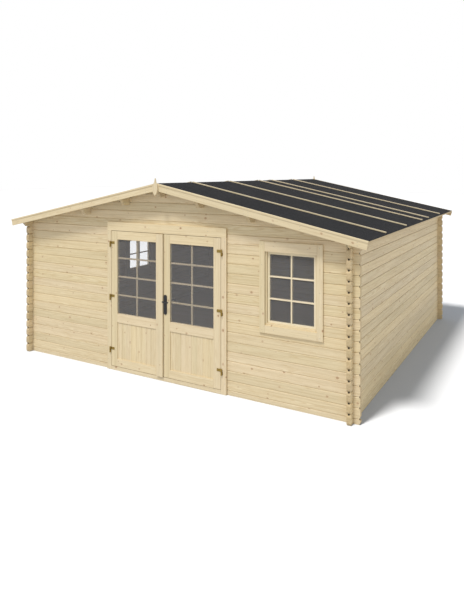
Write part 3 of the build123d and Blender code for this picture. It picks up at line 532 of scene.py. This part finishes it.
def find_knot(tree, run, rise, number, side_grain, knots):
    """The nearest knot: its distance in its own radii, its offset across, if it is there, and its strength.

    Knots lie in a jittered grid of cells along the board, and not on its sawn ends.
    """
    across = add_math(tree, "MULTIPLY_ADD", rise, KNOTS_ACROSS, times(tree, number, KNOT_ROW_SHIFT))
    point = add_vector(tree, times(tree, run, KNOTS_ALONG), across, 0.0)
    cell = add_node(tree, "ShaderNodeTexVoronoi", {"feature": "F1", "voronoi_dimensions": "2D"},
                    Vector=point, Scale=1.0, Randomness=1.0)
    kind = split_colour(tree, cell.outputs["Color"])
    offset = add_node(tree, "ShaderNodeVectorMath", {"operation": "SUBTRACT"})
    tree.links.new(point, offset.inputs[0])
    tree.links.new(cell.outputs["Position"], offset.inputs[1])
    aside = split_vector(tree, offset.outputs[0])
    aside_run = times(tree, aside["X"], KNOT_SQUASH / KNOTS_ALONG)
    aside_rise = times(tree, aside["Y"], 1 / KNOTS_ACROSS)
    radius = add_ramp(tree, kind["Green"], 0.0, 1.0, *KNOT_RADII, smooth=False)
    near = add_math(tree, "DIVIDE", distance(tree, aside_run, aside_rise), radius)
    present = times(tree, above(tree, kind["Red"], 1.0 - KNOT_SHARE * knots), side_grain)
    strength = times(tree, present, add_ramp(tree, kind["Blue"], 0.0, 1.0, *KNOT_STRENGTHS, smooth=False))
    return near, aside_rise, present, strength


def find_pith(tree, grain, chance, near, aside_rise, present):
    """Offsets from the pith, which wanders along the board, with the grain opened round knots."""
    drift = add_node(tree, "ShaderNodeTexNoise", Scale=1.0, Detail=2.0,
                     Vector=grain_point(tree, grain, DRIFT_STRETCH))
    wander = split_colour(tree, drift.outputs["Color"])
    opening = times(tree, add_ramp(tree, near, *GRAIN_OPENS), present)
    up = plus(tree, minus(tree, grain[1], times(tree, opening, aside_rise)),
              spread(tree, wander["Red"], PITH_WANDER[0]), spread(tree, chance["Red"], PITH_PLACES[0]))
    deep = plus(tree, grain[2], spread(tree, wander["Green"], PITH_WANDER[1]),
                spread(tree, chance["Green"], PITH_PLACES[1]))
    return up, deep


def colour_grain(tree, grain, lot, chance, late, fibre, figure):
    """Late wood, long streaks and short dashes, in tones that differ from board to board."""
    streak = add_noise(tree, grain_point(tree, grain, STREAK_STRETCH, chance["Blue"]), 3.0, 0.55)
    dash = add_noise(tree, grain_point(tree, grain, DASH_STRETCH, chance["Red"]), 2.0, 0.6)
    broad = add_noise(tree, grain_point(tree, grain, BROAD_STRETCH))
    colour = add_mix(tree, times(tree, late, LATE_STRENGTH * figure), PINE_PALE, PINE_LATE)
    streaked = add_ramp(tree, streak, *STREAK_BAND, 0.0, STREAK_STRENGTH * figure)
    colour = add_mix(tree, streaked, colour, PINE_STREAK)
    dashed = add_ramp(tree, dash, *DASH_BAND, 0.0, DASH_STRENGTH * figure)
    colour = add_mix(tree, dashed, colour, PINE_LATE)
    tone = plus(tree, 1.0, spread(tree, lot.outputs["Value"], BOARD_TONE * figure),
                spread(tree, broad, BROAD_TONE * figure), spread(tree, fibre, FIBRE_TONE * figure))
    hue = add_node(tree, "ShaderNodeCombineColor", Green=tone,
                   Red=plus(tree, tone, spread(tree, chance["Red"], RED_SPREAD)),
                   Blue=plus(tree, tone, spread(tree, chance["Blue"], BLUE_SPREAD)))
    return add_mix(tree, 1.0, colour, hue.outputs[0], "MULTIPLY")


def colour_knots(tree, colour, near, strength):
    """A knot's warm surround, ringed heart and dark rim. The rim is also a groove in the relief."""
    halo = times(tree, add_ramp(tree, near, *HALO_FADE), strength)
    colour = add_mix(tree, halo, colour, PINE_HALO)
    ringed = add_math(tree, "MULTIPLY_ADD", add_math(tree, "SINE", times(tree, near, KNOT_RINGS)), 0.3, 0.5)
    heart = add_mix(tree, ringed, PINE_KNOT_DARK, PINE_KNOT_RED)
    core = times(tree, add_ramp(tree, near, *HEART_FADE), strength)
    colour = add_mix(tree, core, colour, heart)
    rim = times(tree, add_ramp(tree, near, *RIM_RISE), add_ramp(tree, near, *RIM_FALL), strength)
    return add_mix(tree, rim, colour, PINE_KNOT_DARK), rim


def colour_sawn_end(tree, colour, late, up, deep, radius, chance):
    """A sawn end: darker, with a drying crack from the pith."""
    sawn = add_mix(tree, times(tree, late, 0.30), colour, PINE_LATE)
    sawn = add_mix(tree, 1.0, sawn, PINE_END, "MULTIPLY")
    angle = minus(tree, add_math(tree, "ARCTAN2", up, deep), times(tree, chance["Blue"], 2 * math.pi))
    aside = size_of(tree, times(tree, add_math(tree, "SINE", angle), radius))
    crack = times(tree, add_ramp(tree, aside, *CRACK_FADE), add_ramp(tree, radius, *CRACK_END))
    return add_mix(tree, crack, sawn, PINE_KNOT_DARK)


def make_pine(name, place, knots=1.0, figure=1.0, tint=None, joint_shade=None, groove_shade=False, wide=LOG):
    """Planed pine. place says where a point lies in its board.

    The joint shade is the half width and strength of painted shade along the joint between stacked boards
    wide apart. The groove shade is painted shade inside the groove along the boards' middle.
    """
    material, tree, shader = new_material(name)
    coordinates = tree.nodes.new("ShaderNodeTexCoord").outputs
    spot, facing = (split_vector(tree, coordinates[kind]) for kind in ("Object", "Normal"))
    run, rise, depth, number, end = place(tree, spot, facing)
    end = add_ramp(tree, end, *SAWN_FACING)
    side_grain = minus(tree, 1.0, end)

    # each board is cut from another tree
    lot = add_node(tree, "ShaderNodeTexWhiteNoise", {"noise_dimensions": "1D"}, W=number)
    chance = split_colour(tree, lot.outputs["Color"])
    moved = add_math(tree, "MULTIPLY_ADD", lot.outputs["Value"], TREE_SHIFT, run)
    grain = (moved, rise, depth)

    near, aside_rise, present, strength = find_knot(tree, moved, rise, number, side_grain, knots)
    up, deep = find_pith(tree, grain, chance, near, aside_rise, present)
    radius = distance(tree, up, deep)
    fibre = add_noise(tree, grain_point(tree, grain, FIBRE_STRETCH), 2.0, 0.6)
    ring = plus(tree, add_math(tree, "DIVIDE", radius, RING_WIDTH), times(tree, fibre, RING_WAVER))
    ring = add_math(tree, "FRACT", ring)
    late = times(tree, add_ramp(tree, ring, *LATE_RISE), add_ramp(tree, ring, *LATE_FALL))

    colour = colour_grain(tree, grain, lot, chance, late, fibre, figure)
    colour, rim = colour_knots(tree, colour, near, strength)
    colour = add_mix(tree, end, colour, colour_sawn_end(tree, colour, late, up, deep, radius, chance))
    if tint:
        colour = add_mix(tree, 1.0, colour, tint, "MULTIPLY")

    relief = minus(tree, add_math(tree, "MULTIPLY_ADD", late, 0.25, times(tree, fibre, 0.5)), rim)
    # painted shade along the joint between two boards, with a dip in the relief there
    if joint_shade:
        half, dark = joint_shade
        joint_shade_mask = add_ramp(tree, size_of(tree, rise), wide / 2 - half, wide / 2 - 0.4 * half)
        joint_shade_mask = times(tree, joint_shade_mask, side_grain)
        colour = add_mix(tree, times(tree, joint_shade_mask, dark), colour, PINE_JOINT_SHADE)
        relief = minus(tree, relief, times(tree, joint_shade_mask, 3.0))
    # painted shade inside the groove along the boards' middle
    if groove_shade:
        groove_shade_mask = times(tree, add_math(tree, "LESS_THAN", size_of(tree, depth), GROOVE_HALF), side_grain)
        colour = add_mix(tree, times(tree, groove_shade_mask, 0.9), colour, PINE_SHADE)
    finish(tree, shader, colour, add_ramp(tree, fibre, 0.3, 0.8, 0.52, 0.68, smooth=False), relief,
           strength=0.35, depth=0.0010)
    shader.inputs["Specular IOR Level"].default_value = 0.3
    return material


def surface_noise(tree, scale, detail=3.0, roughness=0.6):
    """A noise over the whole house."""
    place = tree.nodes.new("ShaderNodeTexCoord").outputs["Object"]
    return add_noise(tree, place, detail, roughness, scale)


def make_felt():
    """Mineral felt: dark grit with a faint sheen and soft clouds."""
    material, tree, shader = new_material("mineral_felt")
    grit = surface_noise(tree, 520.0, 2.0, 0.7)
    cloud = surface_noise(tree, 2.4)
    colour = add_mix(tree, add_ramp(tree, grit, 0.38, 0.70), FELT_DARK, FELT_LIGHT)
    colour = add_mix(tree, add_ramp(tree, cloud, 0.35, 0.75, 0.0, 0.30), colour, FELT_CLOUD)
    finish(tree, shader, colour, add_ramp(tree, grit, 0.3, 0.8, 0.95, 0.8, smooth=False), grit,
           strength=0.5, depth=0.0012)
    shader.inputs["Specular IOR Level"].default_value = 0.05
    return material


def make_glass(name, colour, cover):
    """Sheet glass. cover is how much of what lies behind it the pane's own grey hides."""
    material, tree, shader = new_material(name)
    ripple = surface_noise(tree, 3.0, 1.0, 0.5)
    finish(tree, shader, colour, add_ramp(tree, ripple, 0.3, 0.7, 0.03, 0.06, smooth=False), ripple,
           strength=0.08, depth=0.002)
    shader.inputs["Alpha"].default_value = cover
    return material


def make_metal(name, patches, colours, scale, metallic, roughness, relief=None):
    """A metal whose colour and polish change in small patches, with a fine relief where one is given."""
    material, tree, shader = new_material(name)
    patch = surface_noise(tree, scale)
    colour = add_mix(tree, add_ramp(tree, patch, *patches), *colours)
    polish = add_ramp(tree, patch, 0.3, 0.7, *roughness, smooth=False)
    if relief:
        strength, depth = relief
        finish(tree, shader, colour, polish, patch, strength, depth)
    else:
        finish(tree, shader, colour, polish)
    shader.inputs["Metallic"].default_value = metallic
    return material


def make_brass():
    """Yellowed hinge brass, duller in patches."""
    return make_metal("hinge_brass", (0.35, 0.7), (BRASS_BRIGHT, BRASS_DULL), scale=60.0, metallic=0.85,
                      roughness=(0.30, 0.48))


def make_black_metal():
    """Black lacquered iron, slightly uneven."""
    return make_metal("black_lacquer", (0.3, 0.7), (IRON_DARK, IRON_LIGHT), scale=180.0, metallic=0.0,
                      roughness=(0.32, 0.46), relief=(0.15, 0.0006))


def make_zinc():
    """Dull zinc of nails, browner where the wood has stained it."""
    return make_metal("nail_zinc", (0.35, 0.7), (ZINC_CLEAN, ZINC_STAINED), scale=300.0, metallic=0.7,
                      roughness=(0.4, 0.6))


def dress(material, *names):
    """Gives CAD nodes one material."""
    for name in names:
        mesh = nodes[name].data
        mesh.materials.clear()
        mesh.materials.append(material)


def dress_walls():
    """Logs, with painted shade along the joint and inside the groove where two rows meet."""
    front = make_pine("pine_front_logs", stacked("X", "Z", LOG, HALF_LOG, WALL_MIDDLE, mirrored=True),
                      knots=1.3, figure=1.4, joint_shade=FRONT_JOINT_SHADE, groove_shade=True)
    dress(front, "front_wall_left", "front_wall_right", "front_gable", "rear_wall", "rear_gable")
    side = make_pine("pine_side_logs", stacked("Y", "Z", LOG, 0.0, WALL_MIDDLE, mirrored=True),
                     knots=1.2, figure=1.6, joint_shade=SIDE_JOINT_SHADE, groove_shade=True)
    dress(side, "left_wall", "right_wall")


def dress_roof_and_floor():
    """Beams, boards, felt, battens and barge boards."""
    dress(make_pine("pine_beams", stacked("Y", "X", BEAM_PITCH, BEAM_START)), "purlins", "floor_joists")
    # the roof and floor boards get painted shade along their joints
    dress(make_pine("pine_roof_boards", stacked("X", "Y", ROOF_BOARD), joint_shade=ROOF_JOINT_SHADE, wide=ROOF_BOARD),
          "left_roof_boards", "right_roof_boards")
    dress(make_pine("pine_floor_boards", stacked("X", "Y", FLOOR_BOARD), joint_shade=FLOOR_JOINT_SHADE, wide=FLOOR_BOARD),
          "floor_boards")
    dress(make_pine("pine_barge_boards", sloping(BARGE_MIDDLE, BARGE_BELOW), knots=1.3), "front_barge_boards",
          "rear_barge_boards")
    dress(make_pine("pine_battens", sloping(0.0, -BATTEN_ABOVE), knots=0.5, figure=0.8, tint=BATTEN_TINT),
          "roof_battens")
    dress(make_felt(), "roof_felt")


def dress_doors():
    """The door frame, both leaves and the finials, which share the upright boards' finish."""
    level = stacked("X", "Z", HEAD_BOARD, HEAD_START, -WALL_MIDDLE)
    dress(make_pine("pine_level", level, knots=1.3, figure=0.9), "door_head", "threshold")
    upright = stacked("Z", "X", UPRIGHT_BOARD, UPRIGHT_BOARD / 2, DOOR_MIDDLE)
    dress(make_pine("pine_upright", upright, knots=1.3, figure=0.9), "finials", "left_jamb", "right_jamb",
          "meeting_strip")
    for side, name in ((-1, "left_leaf"), (1, "right_leaf")):
        leaf = framed("X", side * LEAF_X, LEAF_OPENING, DOOR_MIDDLE, LEAF_RAIL_CELL, LEAF_RAIL_START)
        dress(make_pine("pine_" + name, leaf, knots=1.3, figure=0.9), name + "_frame")
        bars = framed("X", side * LEAF_X, LEAF_OPENING, DOOR_MIDDLE, LEAF_BAR_CELL, LEAF_BAR_START,
                      LEAF_BAR_HALF)
        # the bars get painted shade, darker than their leaf
        dress(make_pine("pine_" + name + "_bars", bars, knots=0.3, tint=DOOR_BAR_SHADE), name + "_bars")
    panel = stacked("Z", "X", PANEL_BOARD, PANEL_START, DOOR_MIDDLE)
    dress(make_pine("pine_panels", panel, figure=1.1), "left_leaf_panel", "right_leaf_panel")


def dress_windows():
    """Casings, sashes and panes, of the windows and of the doors."""
    for wall, side, centre, drop in (("front", "X", WINDOW_X, 0.0), ("left", "Y", 0.0, LEFT_WINDOW_DROP)):
        casing = framed(side, centre, CASING_OPENING, CASING_MIDDLE, CASING_CELL, CASING_START - drop,
                        lining=LINING_OPENING)
        dress(make_pine("pine_" + wall + "_window", casing, knots=1.3, figure=0.9), wall + "_window_frame")
        sash = framed(side, centre, SASH_OPENING, SASH_MIDDLE, SASH_CELL, SASH_START - drop, SASH_BAR_HALF)
        dress(make_pine("pine_" + wall + "_sash", sash, knots=0.4, figure=0.6, tint=SASH_TINT),
              wall + "_window_sash")
    dress(make_glass("window_glass", PANE_GREY, cover=0.155), "front_window_glass", "left_leaf_glass",
          "right_leaf_glass")
    dress(make_glass("clear_glass", CLEAR_GREY, cover=0.03), "left_window_glass")


def ease_edges(width, steps, *names):
    """Rounds the edges of CAD nodes, as a plane or a sander does."""
    for name in names:
        weld = nodes[name].modifiers.new("join_facets", "WELD")
        weld.merge_threshold = FACET_JOIN
        bevel = nodes[name].modifiers.new("eased_edges", "BEVEL")
        bevel.width = width
        bevel.segments = steps
        bevel.limit_method = "ANGLE"
        bevel.angle_limit = EDGE_ANGLE
        bevel.use_clamp_overlap = True


def ease_house():
    """Eased edges on the joinery, the hinges and the handle's plates."""
    ease_edges(0.0022, 2, "front_barge_boards", "rear_barge_boards", "finials", "left_jamb", "right_jamb",
               "door_head", "threshold", "left_leaf_frame", "right_leaf_frame", "meeting_strip",
               "front_window_frame", "front_window_sash", "left_window_frame", "left_window_sash",
               "roof_battens", "purlins")
    ease_edges(0.0012, 2, "left_leaf_bars", "right_leaf_bars")
    ease_edges(0.0008, 2, "frame_hinges", "left_leaf_hinges", "right_leaf_hinges")
    ease_edges(0.0030, 3, "handle_plates")


def add_piece(name, mesh, body):
    """A finished piece that rides on a body."""
    piece = bpy.data.objects.new(name, mesh)
    bpy.context.scene.collection.objects.link(piece)
    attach(piece, body)
    return piece


def loft(shells, material):
    """A mesh from closed shells. Each shell is a list of rings, and its end rings are closed."""
    work = bmesh.new()
    for rings in shells:
        rows = [[work.verts.new(point) for point in ring] for ring in rings]
        for low, high in zip(rows, rows[1:]):
            for index in range(len(low)):
                after = (index + 1) % len(low)
                work.faces.new((low[index], low[after], high[after], high[index]))
        work.faces.new(rows[0][::-1])
        work.faces.new(rows[-1])
    bmesh.ops.recalc_face_normals(work, faces=work.faces)
    for face in work.faces:
        face.smooth = len(face.verts) == 4
    mesh = bpy.data.meshes.new("shells")
    work.to_mesh(mesh)
    work.free()
    mesh.materials.append(material)
    return mesh


def ring_angles(count):
    """The angles of the points of a ring."""
    return [2 * math.pi * index / count for index in range(count)]


def turned(centre, axis, profile):
    """Rings of a turned shape: profile gives distances along the axis with radii."""
    axis = Vector(axis)
    first = axis.orthogonal().normalized()
    second = axis.cross(first)
    return [[Vector(centre) + axis * along + radius * (math.cos(turn) * first + math.sin(turn) * second)
             for turn in ring_angles(TURNED_SIDES)]
            for along, radius in profile]


def grip(y):
    """Rings of the lever's waisted grip, on one face of the door."""
    return [[Vector((x, y + GRIP_HALF_DEPTH * depth * math.cos(turn),
                     SPINDLE_Z + GRIP_HALF_HEIGHT * height * math.sin(turn)))
             for turn in ring_angles(GRIP_SIDES)]
            for x, depth, height in GRIP_SHAPE]


def make_lever(black):
    """The sprung lever: a grip on each face, and a neck through the leaf."""
    shells = [grip(y) for y in GRIP_PLACES]
    shells.append(turned((SPINDLE_X, GRIP_PLACES[0], SPINDLE_Z), (0, 1, 0), NECK_SHAPE))
    lever = add_piece("lever_grips", loft(shells, black), "lever")
    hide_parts("door_lever")


def make_handle_fittings(black):
    """Collars round the spindle and a keyed cylinder on both plates."""
    for name, shape, drop in (("spindle_collars", COLLAR_SHAPE, 0.0),
                              ("lock_cylinders", CYLINDER_SHAPE, CYLINDER_DROP)):
        shells = [turned((SPINDLE_X, face - PLATE_SINK * out, SPINDLE_Z - drop), (0, out, 0), shape)
                  for face, out in PLATE_FACES]
        add_piece(name, loft(shells, black), "right_leaf")


def make_hinge_tips(brass):
    """Domed ends on the hinge knuckles: the upper ones turn with the leaves."""
    for side, body in ((-1, "left_leaf"), (1, "right_leaf")):
        tops = [turned((side * HINGE_X, HINGE_Y, height + HINGE_TIP), (0, 0, 1), DOME_SHAPE)
                for height in HINGE_HEIGHTS]
        add_piece(body + "_hinge_tips", loft(tops, brass), body)
    feet = [turned((side * HINGE_X, HINGE_Y, height - HINGE_TIP), (0, 0, -1), DOME_SHAPE)
            for side in (-1, 1) for height in HINGE_HEIGHTS]
    add_piece("frame_hinge_tips", loft(feet, brass), "house")


def cross_cut_block(tree, given):
    """Geometry nodes: a block two wide and one high, with a cross cut in its top if it is a screw's."""
    block = add_node(tree, "GeometryNodeMeshCube", Size=(2.0, 2.0, 1.0))
    for key, count in (("Vertices X", HEAD_POINTS), ("Vertices Y", HEAD_POINTS), ("Vertices Z", 2)):
        block.inputs[key].default_value = count
    middle = split_vector(tree, tree.nodes.new("GeometryNodeInputPosition").outputs[0])
    x, y = (size_of(tree, middle[axis]) for axis in "XY")
    narrow = add_math(tree, "LESS_THAN", add_math(tree, "MINIMUM", x, y), CROSS_HALF)
    short = add_math(tree, "LESS_THAN", add_math(tree, "MAXIMUM", x, y), CROSS_REACH)
    cross = times(tree, narrow, short, above(tree, middle["Z"], BLOCK_TOP), given["Crossed"])
    cut = add_node(tree, "GeometryNodeExtrudeMesh", Mesh=block.outputs["Mesh"], Selection=cross,
                   Offset_Scale=times(tree, given["Slot Depth"], -1.0))
    cut.inputs["Individual"].default_value = False
    return cut.outputs["Mesh"]


def rounded_head(tree, block, given):
    """Geometry nodes: the block pressed into a round, domed head that stands on the ground."""
    at = split_vector(tree, tree.nodes.new("GeometryNodeInputPosition").outputs[0])
    flat = [times(tree, at[axis], add_math(tree, "SQRT", minus(tree, 1.0, times(
        tree, squared(tree, at[other]), 0.5)))) for axis, other in ("XY", "YX")]
    level = plus(tree, at["Z"], 0.5)
    inward = minus(tree, 1.0, plus(tree, squared(tree, flat[0]), squared(tree, flat[1])))
    height = plus(tree, times(tree, level, given["Head Height"]), times(tree, inward, given["Dome"], level))
    placed = add_vector(tree, *(times(tree, part, given["Head Radius"]) for part in flat), height)
    return add_node(tree, "GeometryNodeSetPosition", Geometry=block, Position=placed).outputs["Geometry"]


def heads_tree(name, material):
    """Geometry nodes: a head on each point, turned outwards and by chance round its own axis."""
    tree = bpy.data.node_groups.new(name, "GeometryNodeTree")
    for label, kind, value in (("Points", "Geometry", None), ("Head Radius", "Float", 0.004),
                               ("Head Height", "Float", 0.001), ("Dome", "Float", 0.001),
                               ("Slot Depth", "Float", 0.5), ("Crossed", "Bool", False), ("Seed", "Int", 1)):
        socket = tree.interface.new_socket(label, in_out="INPUT", socket_type="NodeSocket" + kind)
        if value is not None:
            socket.default_value = value
    tree.interface.new_socket("Heads", in_out="OUTPUT", socket_type="NodeSocketGeometry")
    given = tree.nodes.new("NodeGroupInput").outputs
    head = rounded_head(tree, cross_cut_block(tree, given), given)

    outward = add_node(tree, "GeometryNodeInputNamedAttribute", {"data_type": "FLOAT_VECTOR"})
    outward.inputs["Name"].default_value = "facing"
    upright = add_node(tree, "FunctionNodeAlignRotationToVector", {"axis": "Z"},
                       Vector=outward.outputs["Attribute"])
    chance = add_node(tree, "FunctionNodeRandomValue", {"data_type": "FLOAT"}, Seed=given["Seed"])
    low, high = [socket for socket in chance.inputs if socket.type == "VALUE" and socket.enabled]
    low.default_value, high.default_value = 0.0, math.pi
    angle = next(socket for socket in chance.outputs if socket.enabled)
    spun = add_node(tree, "FunctionNodeAxisAngleToRotation", Axis=(0, 0, 1), Angle=angle)
    both = add_node(tree, "FunctionNodeRotateRotation", {"rotation_space": "LOCAL"},
                    Rotation=upright.outputs[0], Rotate_By=spun.outputs[0])
    heads = add_node(tree, "GeometryNodeInstanceOnPoints", Points=given["Points"], Instance=head,
                     Rotation=both.outputs[0])
    plain = add_node(tree, "GeometryNodeRealizeInstances", Geometry=heads.outputs["Instances"])
    dressed = add_node(tree, "GeometryNodeSetMaterial", Geometry=plain.outputs["Geometry"])
    dressed.inputs["Material"].default_value = material
    tree.links.new(dressed.outputs["Geometry"], tree.nodes.new("NodeGroupOutput").inputs[0])
    return tree


def add_heads(name, tree, body, slot, spots, **sizes):
    """Heads at spots, each a place and the way it faces, as one plain mesh."""
    points = bpy.data.meshes.new(name)
    points.from_pydata([place for place, _ in spots], [], [])
    facing = points.attributes.new("facing", "FLOAT_VECTOR", "POINT")
    for index, (_, way) in enumerate(spots):
        facing.data[index].vector = way
    carrier = bpy.data.objects.new(name + "_points", points)
    bpy.context.scene.collection.objects.link(carrier)
    modifier = carrier.modifiers.new("heads", "NODES")
    modifier.node_group = tree
    sockets = {item.name: item.identifier for item in tree.interface.items_tree if item.in_out == "INPUT"}
    for label, value in sizes.items():
        modifier[sockets[label.replace("_", " ")]] = value
    graph = bpy.context.evaluated_depsgraph_get()
    mesh = bpy.data.meshes.new_from_object(carrier.evaluated_get(graph))
    carrier.modifiers.remove(modifier)
    bpy.data.objects.remove(carrier)
    add_piece(name, mesh, body)


def barge_board_spots():
    """Nails through the barge boards into the purlins, and one on each side of a finial."""
    spots = []
    for way in (-1, 1):
        for side in (-1, 1):
            for out in BARGE_NAILS_OUT:
                for below in BARGE_NAILS_BELOW:
                    spot = (side * out, way * BARGE_FACE, RIDGE - out * ROOF_SLOPE - below)
                    spots.append((spot, (0, way, 0)))
            spots.append(((side * FINIAL_NAIL_OUT, way * FINIAL_FACE, FINIAL_NAIL_HEIGHT), (0, way, 0)))
    return spots


def batten_spots():
    """Nails in a row down each batten, square to the roof."""
    spots = []
    up = Vector((ROOF_SLOPE, 0, 1)).normalized()
    for y in BATTEN_PLACES:
        for side in (-1, 1):
            for index in range(BATTEN_NAIL_COUNT):
                out = BATTEN_NAIL_FIRST + index * BATTEN_NAIL_STEP
                spots.append(((side * out, y, RIDGE - out * ROOF_SLOPE + BATTEN_TOP), (side * up.x, 0, up.z)))
    return spots


def casing_spots():
    """Nails in the casings of both windows and round the doorway."""
    front, left = (0, -1, 0), (-1, 0, 0)
    beside_window = (-CASING_NAIL_ASIDE, CASING_NAIL_ASIDE)
    spots = []
    for height in CASING_NAIL_HEIGHTS:
        spots += [((WINDOW_X + aside, CASING_FACE, height), front) for aside in beside_window]
        spots += [((CASING_FACE, aside, height - HALF_LOG), left) for aside in beside_window]
    spots += [((x, JAMB_FACE, height), front) for height in JAMB_NAIL_HEIGHTS
              for x in (-JAMB_NAIL_X, JAMB_NAIL_X)]
    spots += [((x, JAMB_FACE, DOOR_HEAD_NAIL_Z), front) for x in DOOR_HEAD_NAILS_X]
    spots += [((x, CASING_FACE, z), front) for x in CASING_RAIL_NAILS_X for z in CASING_RAIL_NAILS_Z]
    return spots


def make_fasteners(zinc, brass, black):
    """Nails on the trim and battens, screws on the hinges and handle plates."""
    nails, hinge_screws, plate_screws = (heads_tree(name, material) for name, material in (
        ("nail_heads", zinc), ("hinge_screw_heads", brass), ("plate_screw_heads", black)))
    # the nails share the hinges' slot, because the record has none for zinc
    for name, spots, seed in (("barge_board_nails", barge_board_spots(), 3),
                              ("batten_nails", batten_spots(), 5), ("casing_nails", casing_spots(), 7)):
        add_heads(name, nails, "house", "hinge_brass", spots, Seed=seed, **NAIL)
    for side, body in ((-1, "left_leaf"), (1, "right_leaf")):
        spots = [((side * x, FLAP_FACE, height + FLAP_RISE + rise), (0, -1, 0)) for height in HINGE_HEIGHTS
                 for x, rise in FLAP_SCREWS]
        add_heads(body + "_hinge_screws", hinge_screws, body, "hinge_brass", spots, Seed=11, **SCREW)
    spots = [((SPINDLE_X, face - HEAD_SINK * out, height), (0, out, 0)) for face, out in PLATE_FACES
             for height in PLATE_SCREW_HEIGHTS]
    add_heads("handle_plate_screws", plate_screws, "right_leaf", "handle_black", spots, Seed=17, **SCREW)


make_camera()
make_world()
make_sun("sun", SUN_STRENGTH)
make_sun("side_light", SIDE_STRENGTH, SIDE_FROM, SIDE_ANGLE)
make_ground()
dress_walls()
dress_roof_and_floor()
dress_doors()
dress_windows()
ease_house()
brass, black, zinc = make_brass(), make_black_metal(), make_zinc()
dress(brass, "frame_hinges", "left_leaf_hinges", "right_leaf_hinges")
dress(black, "handle_plates", "door_lever")
make_lever(black)
make_handle_fittings(black)
make_hinge_tips(brass)
make_fasteners(zinc, brass, black)
bpy.context.scene.view_settings.view_transform = "Standard"
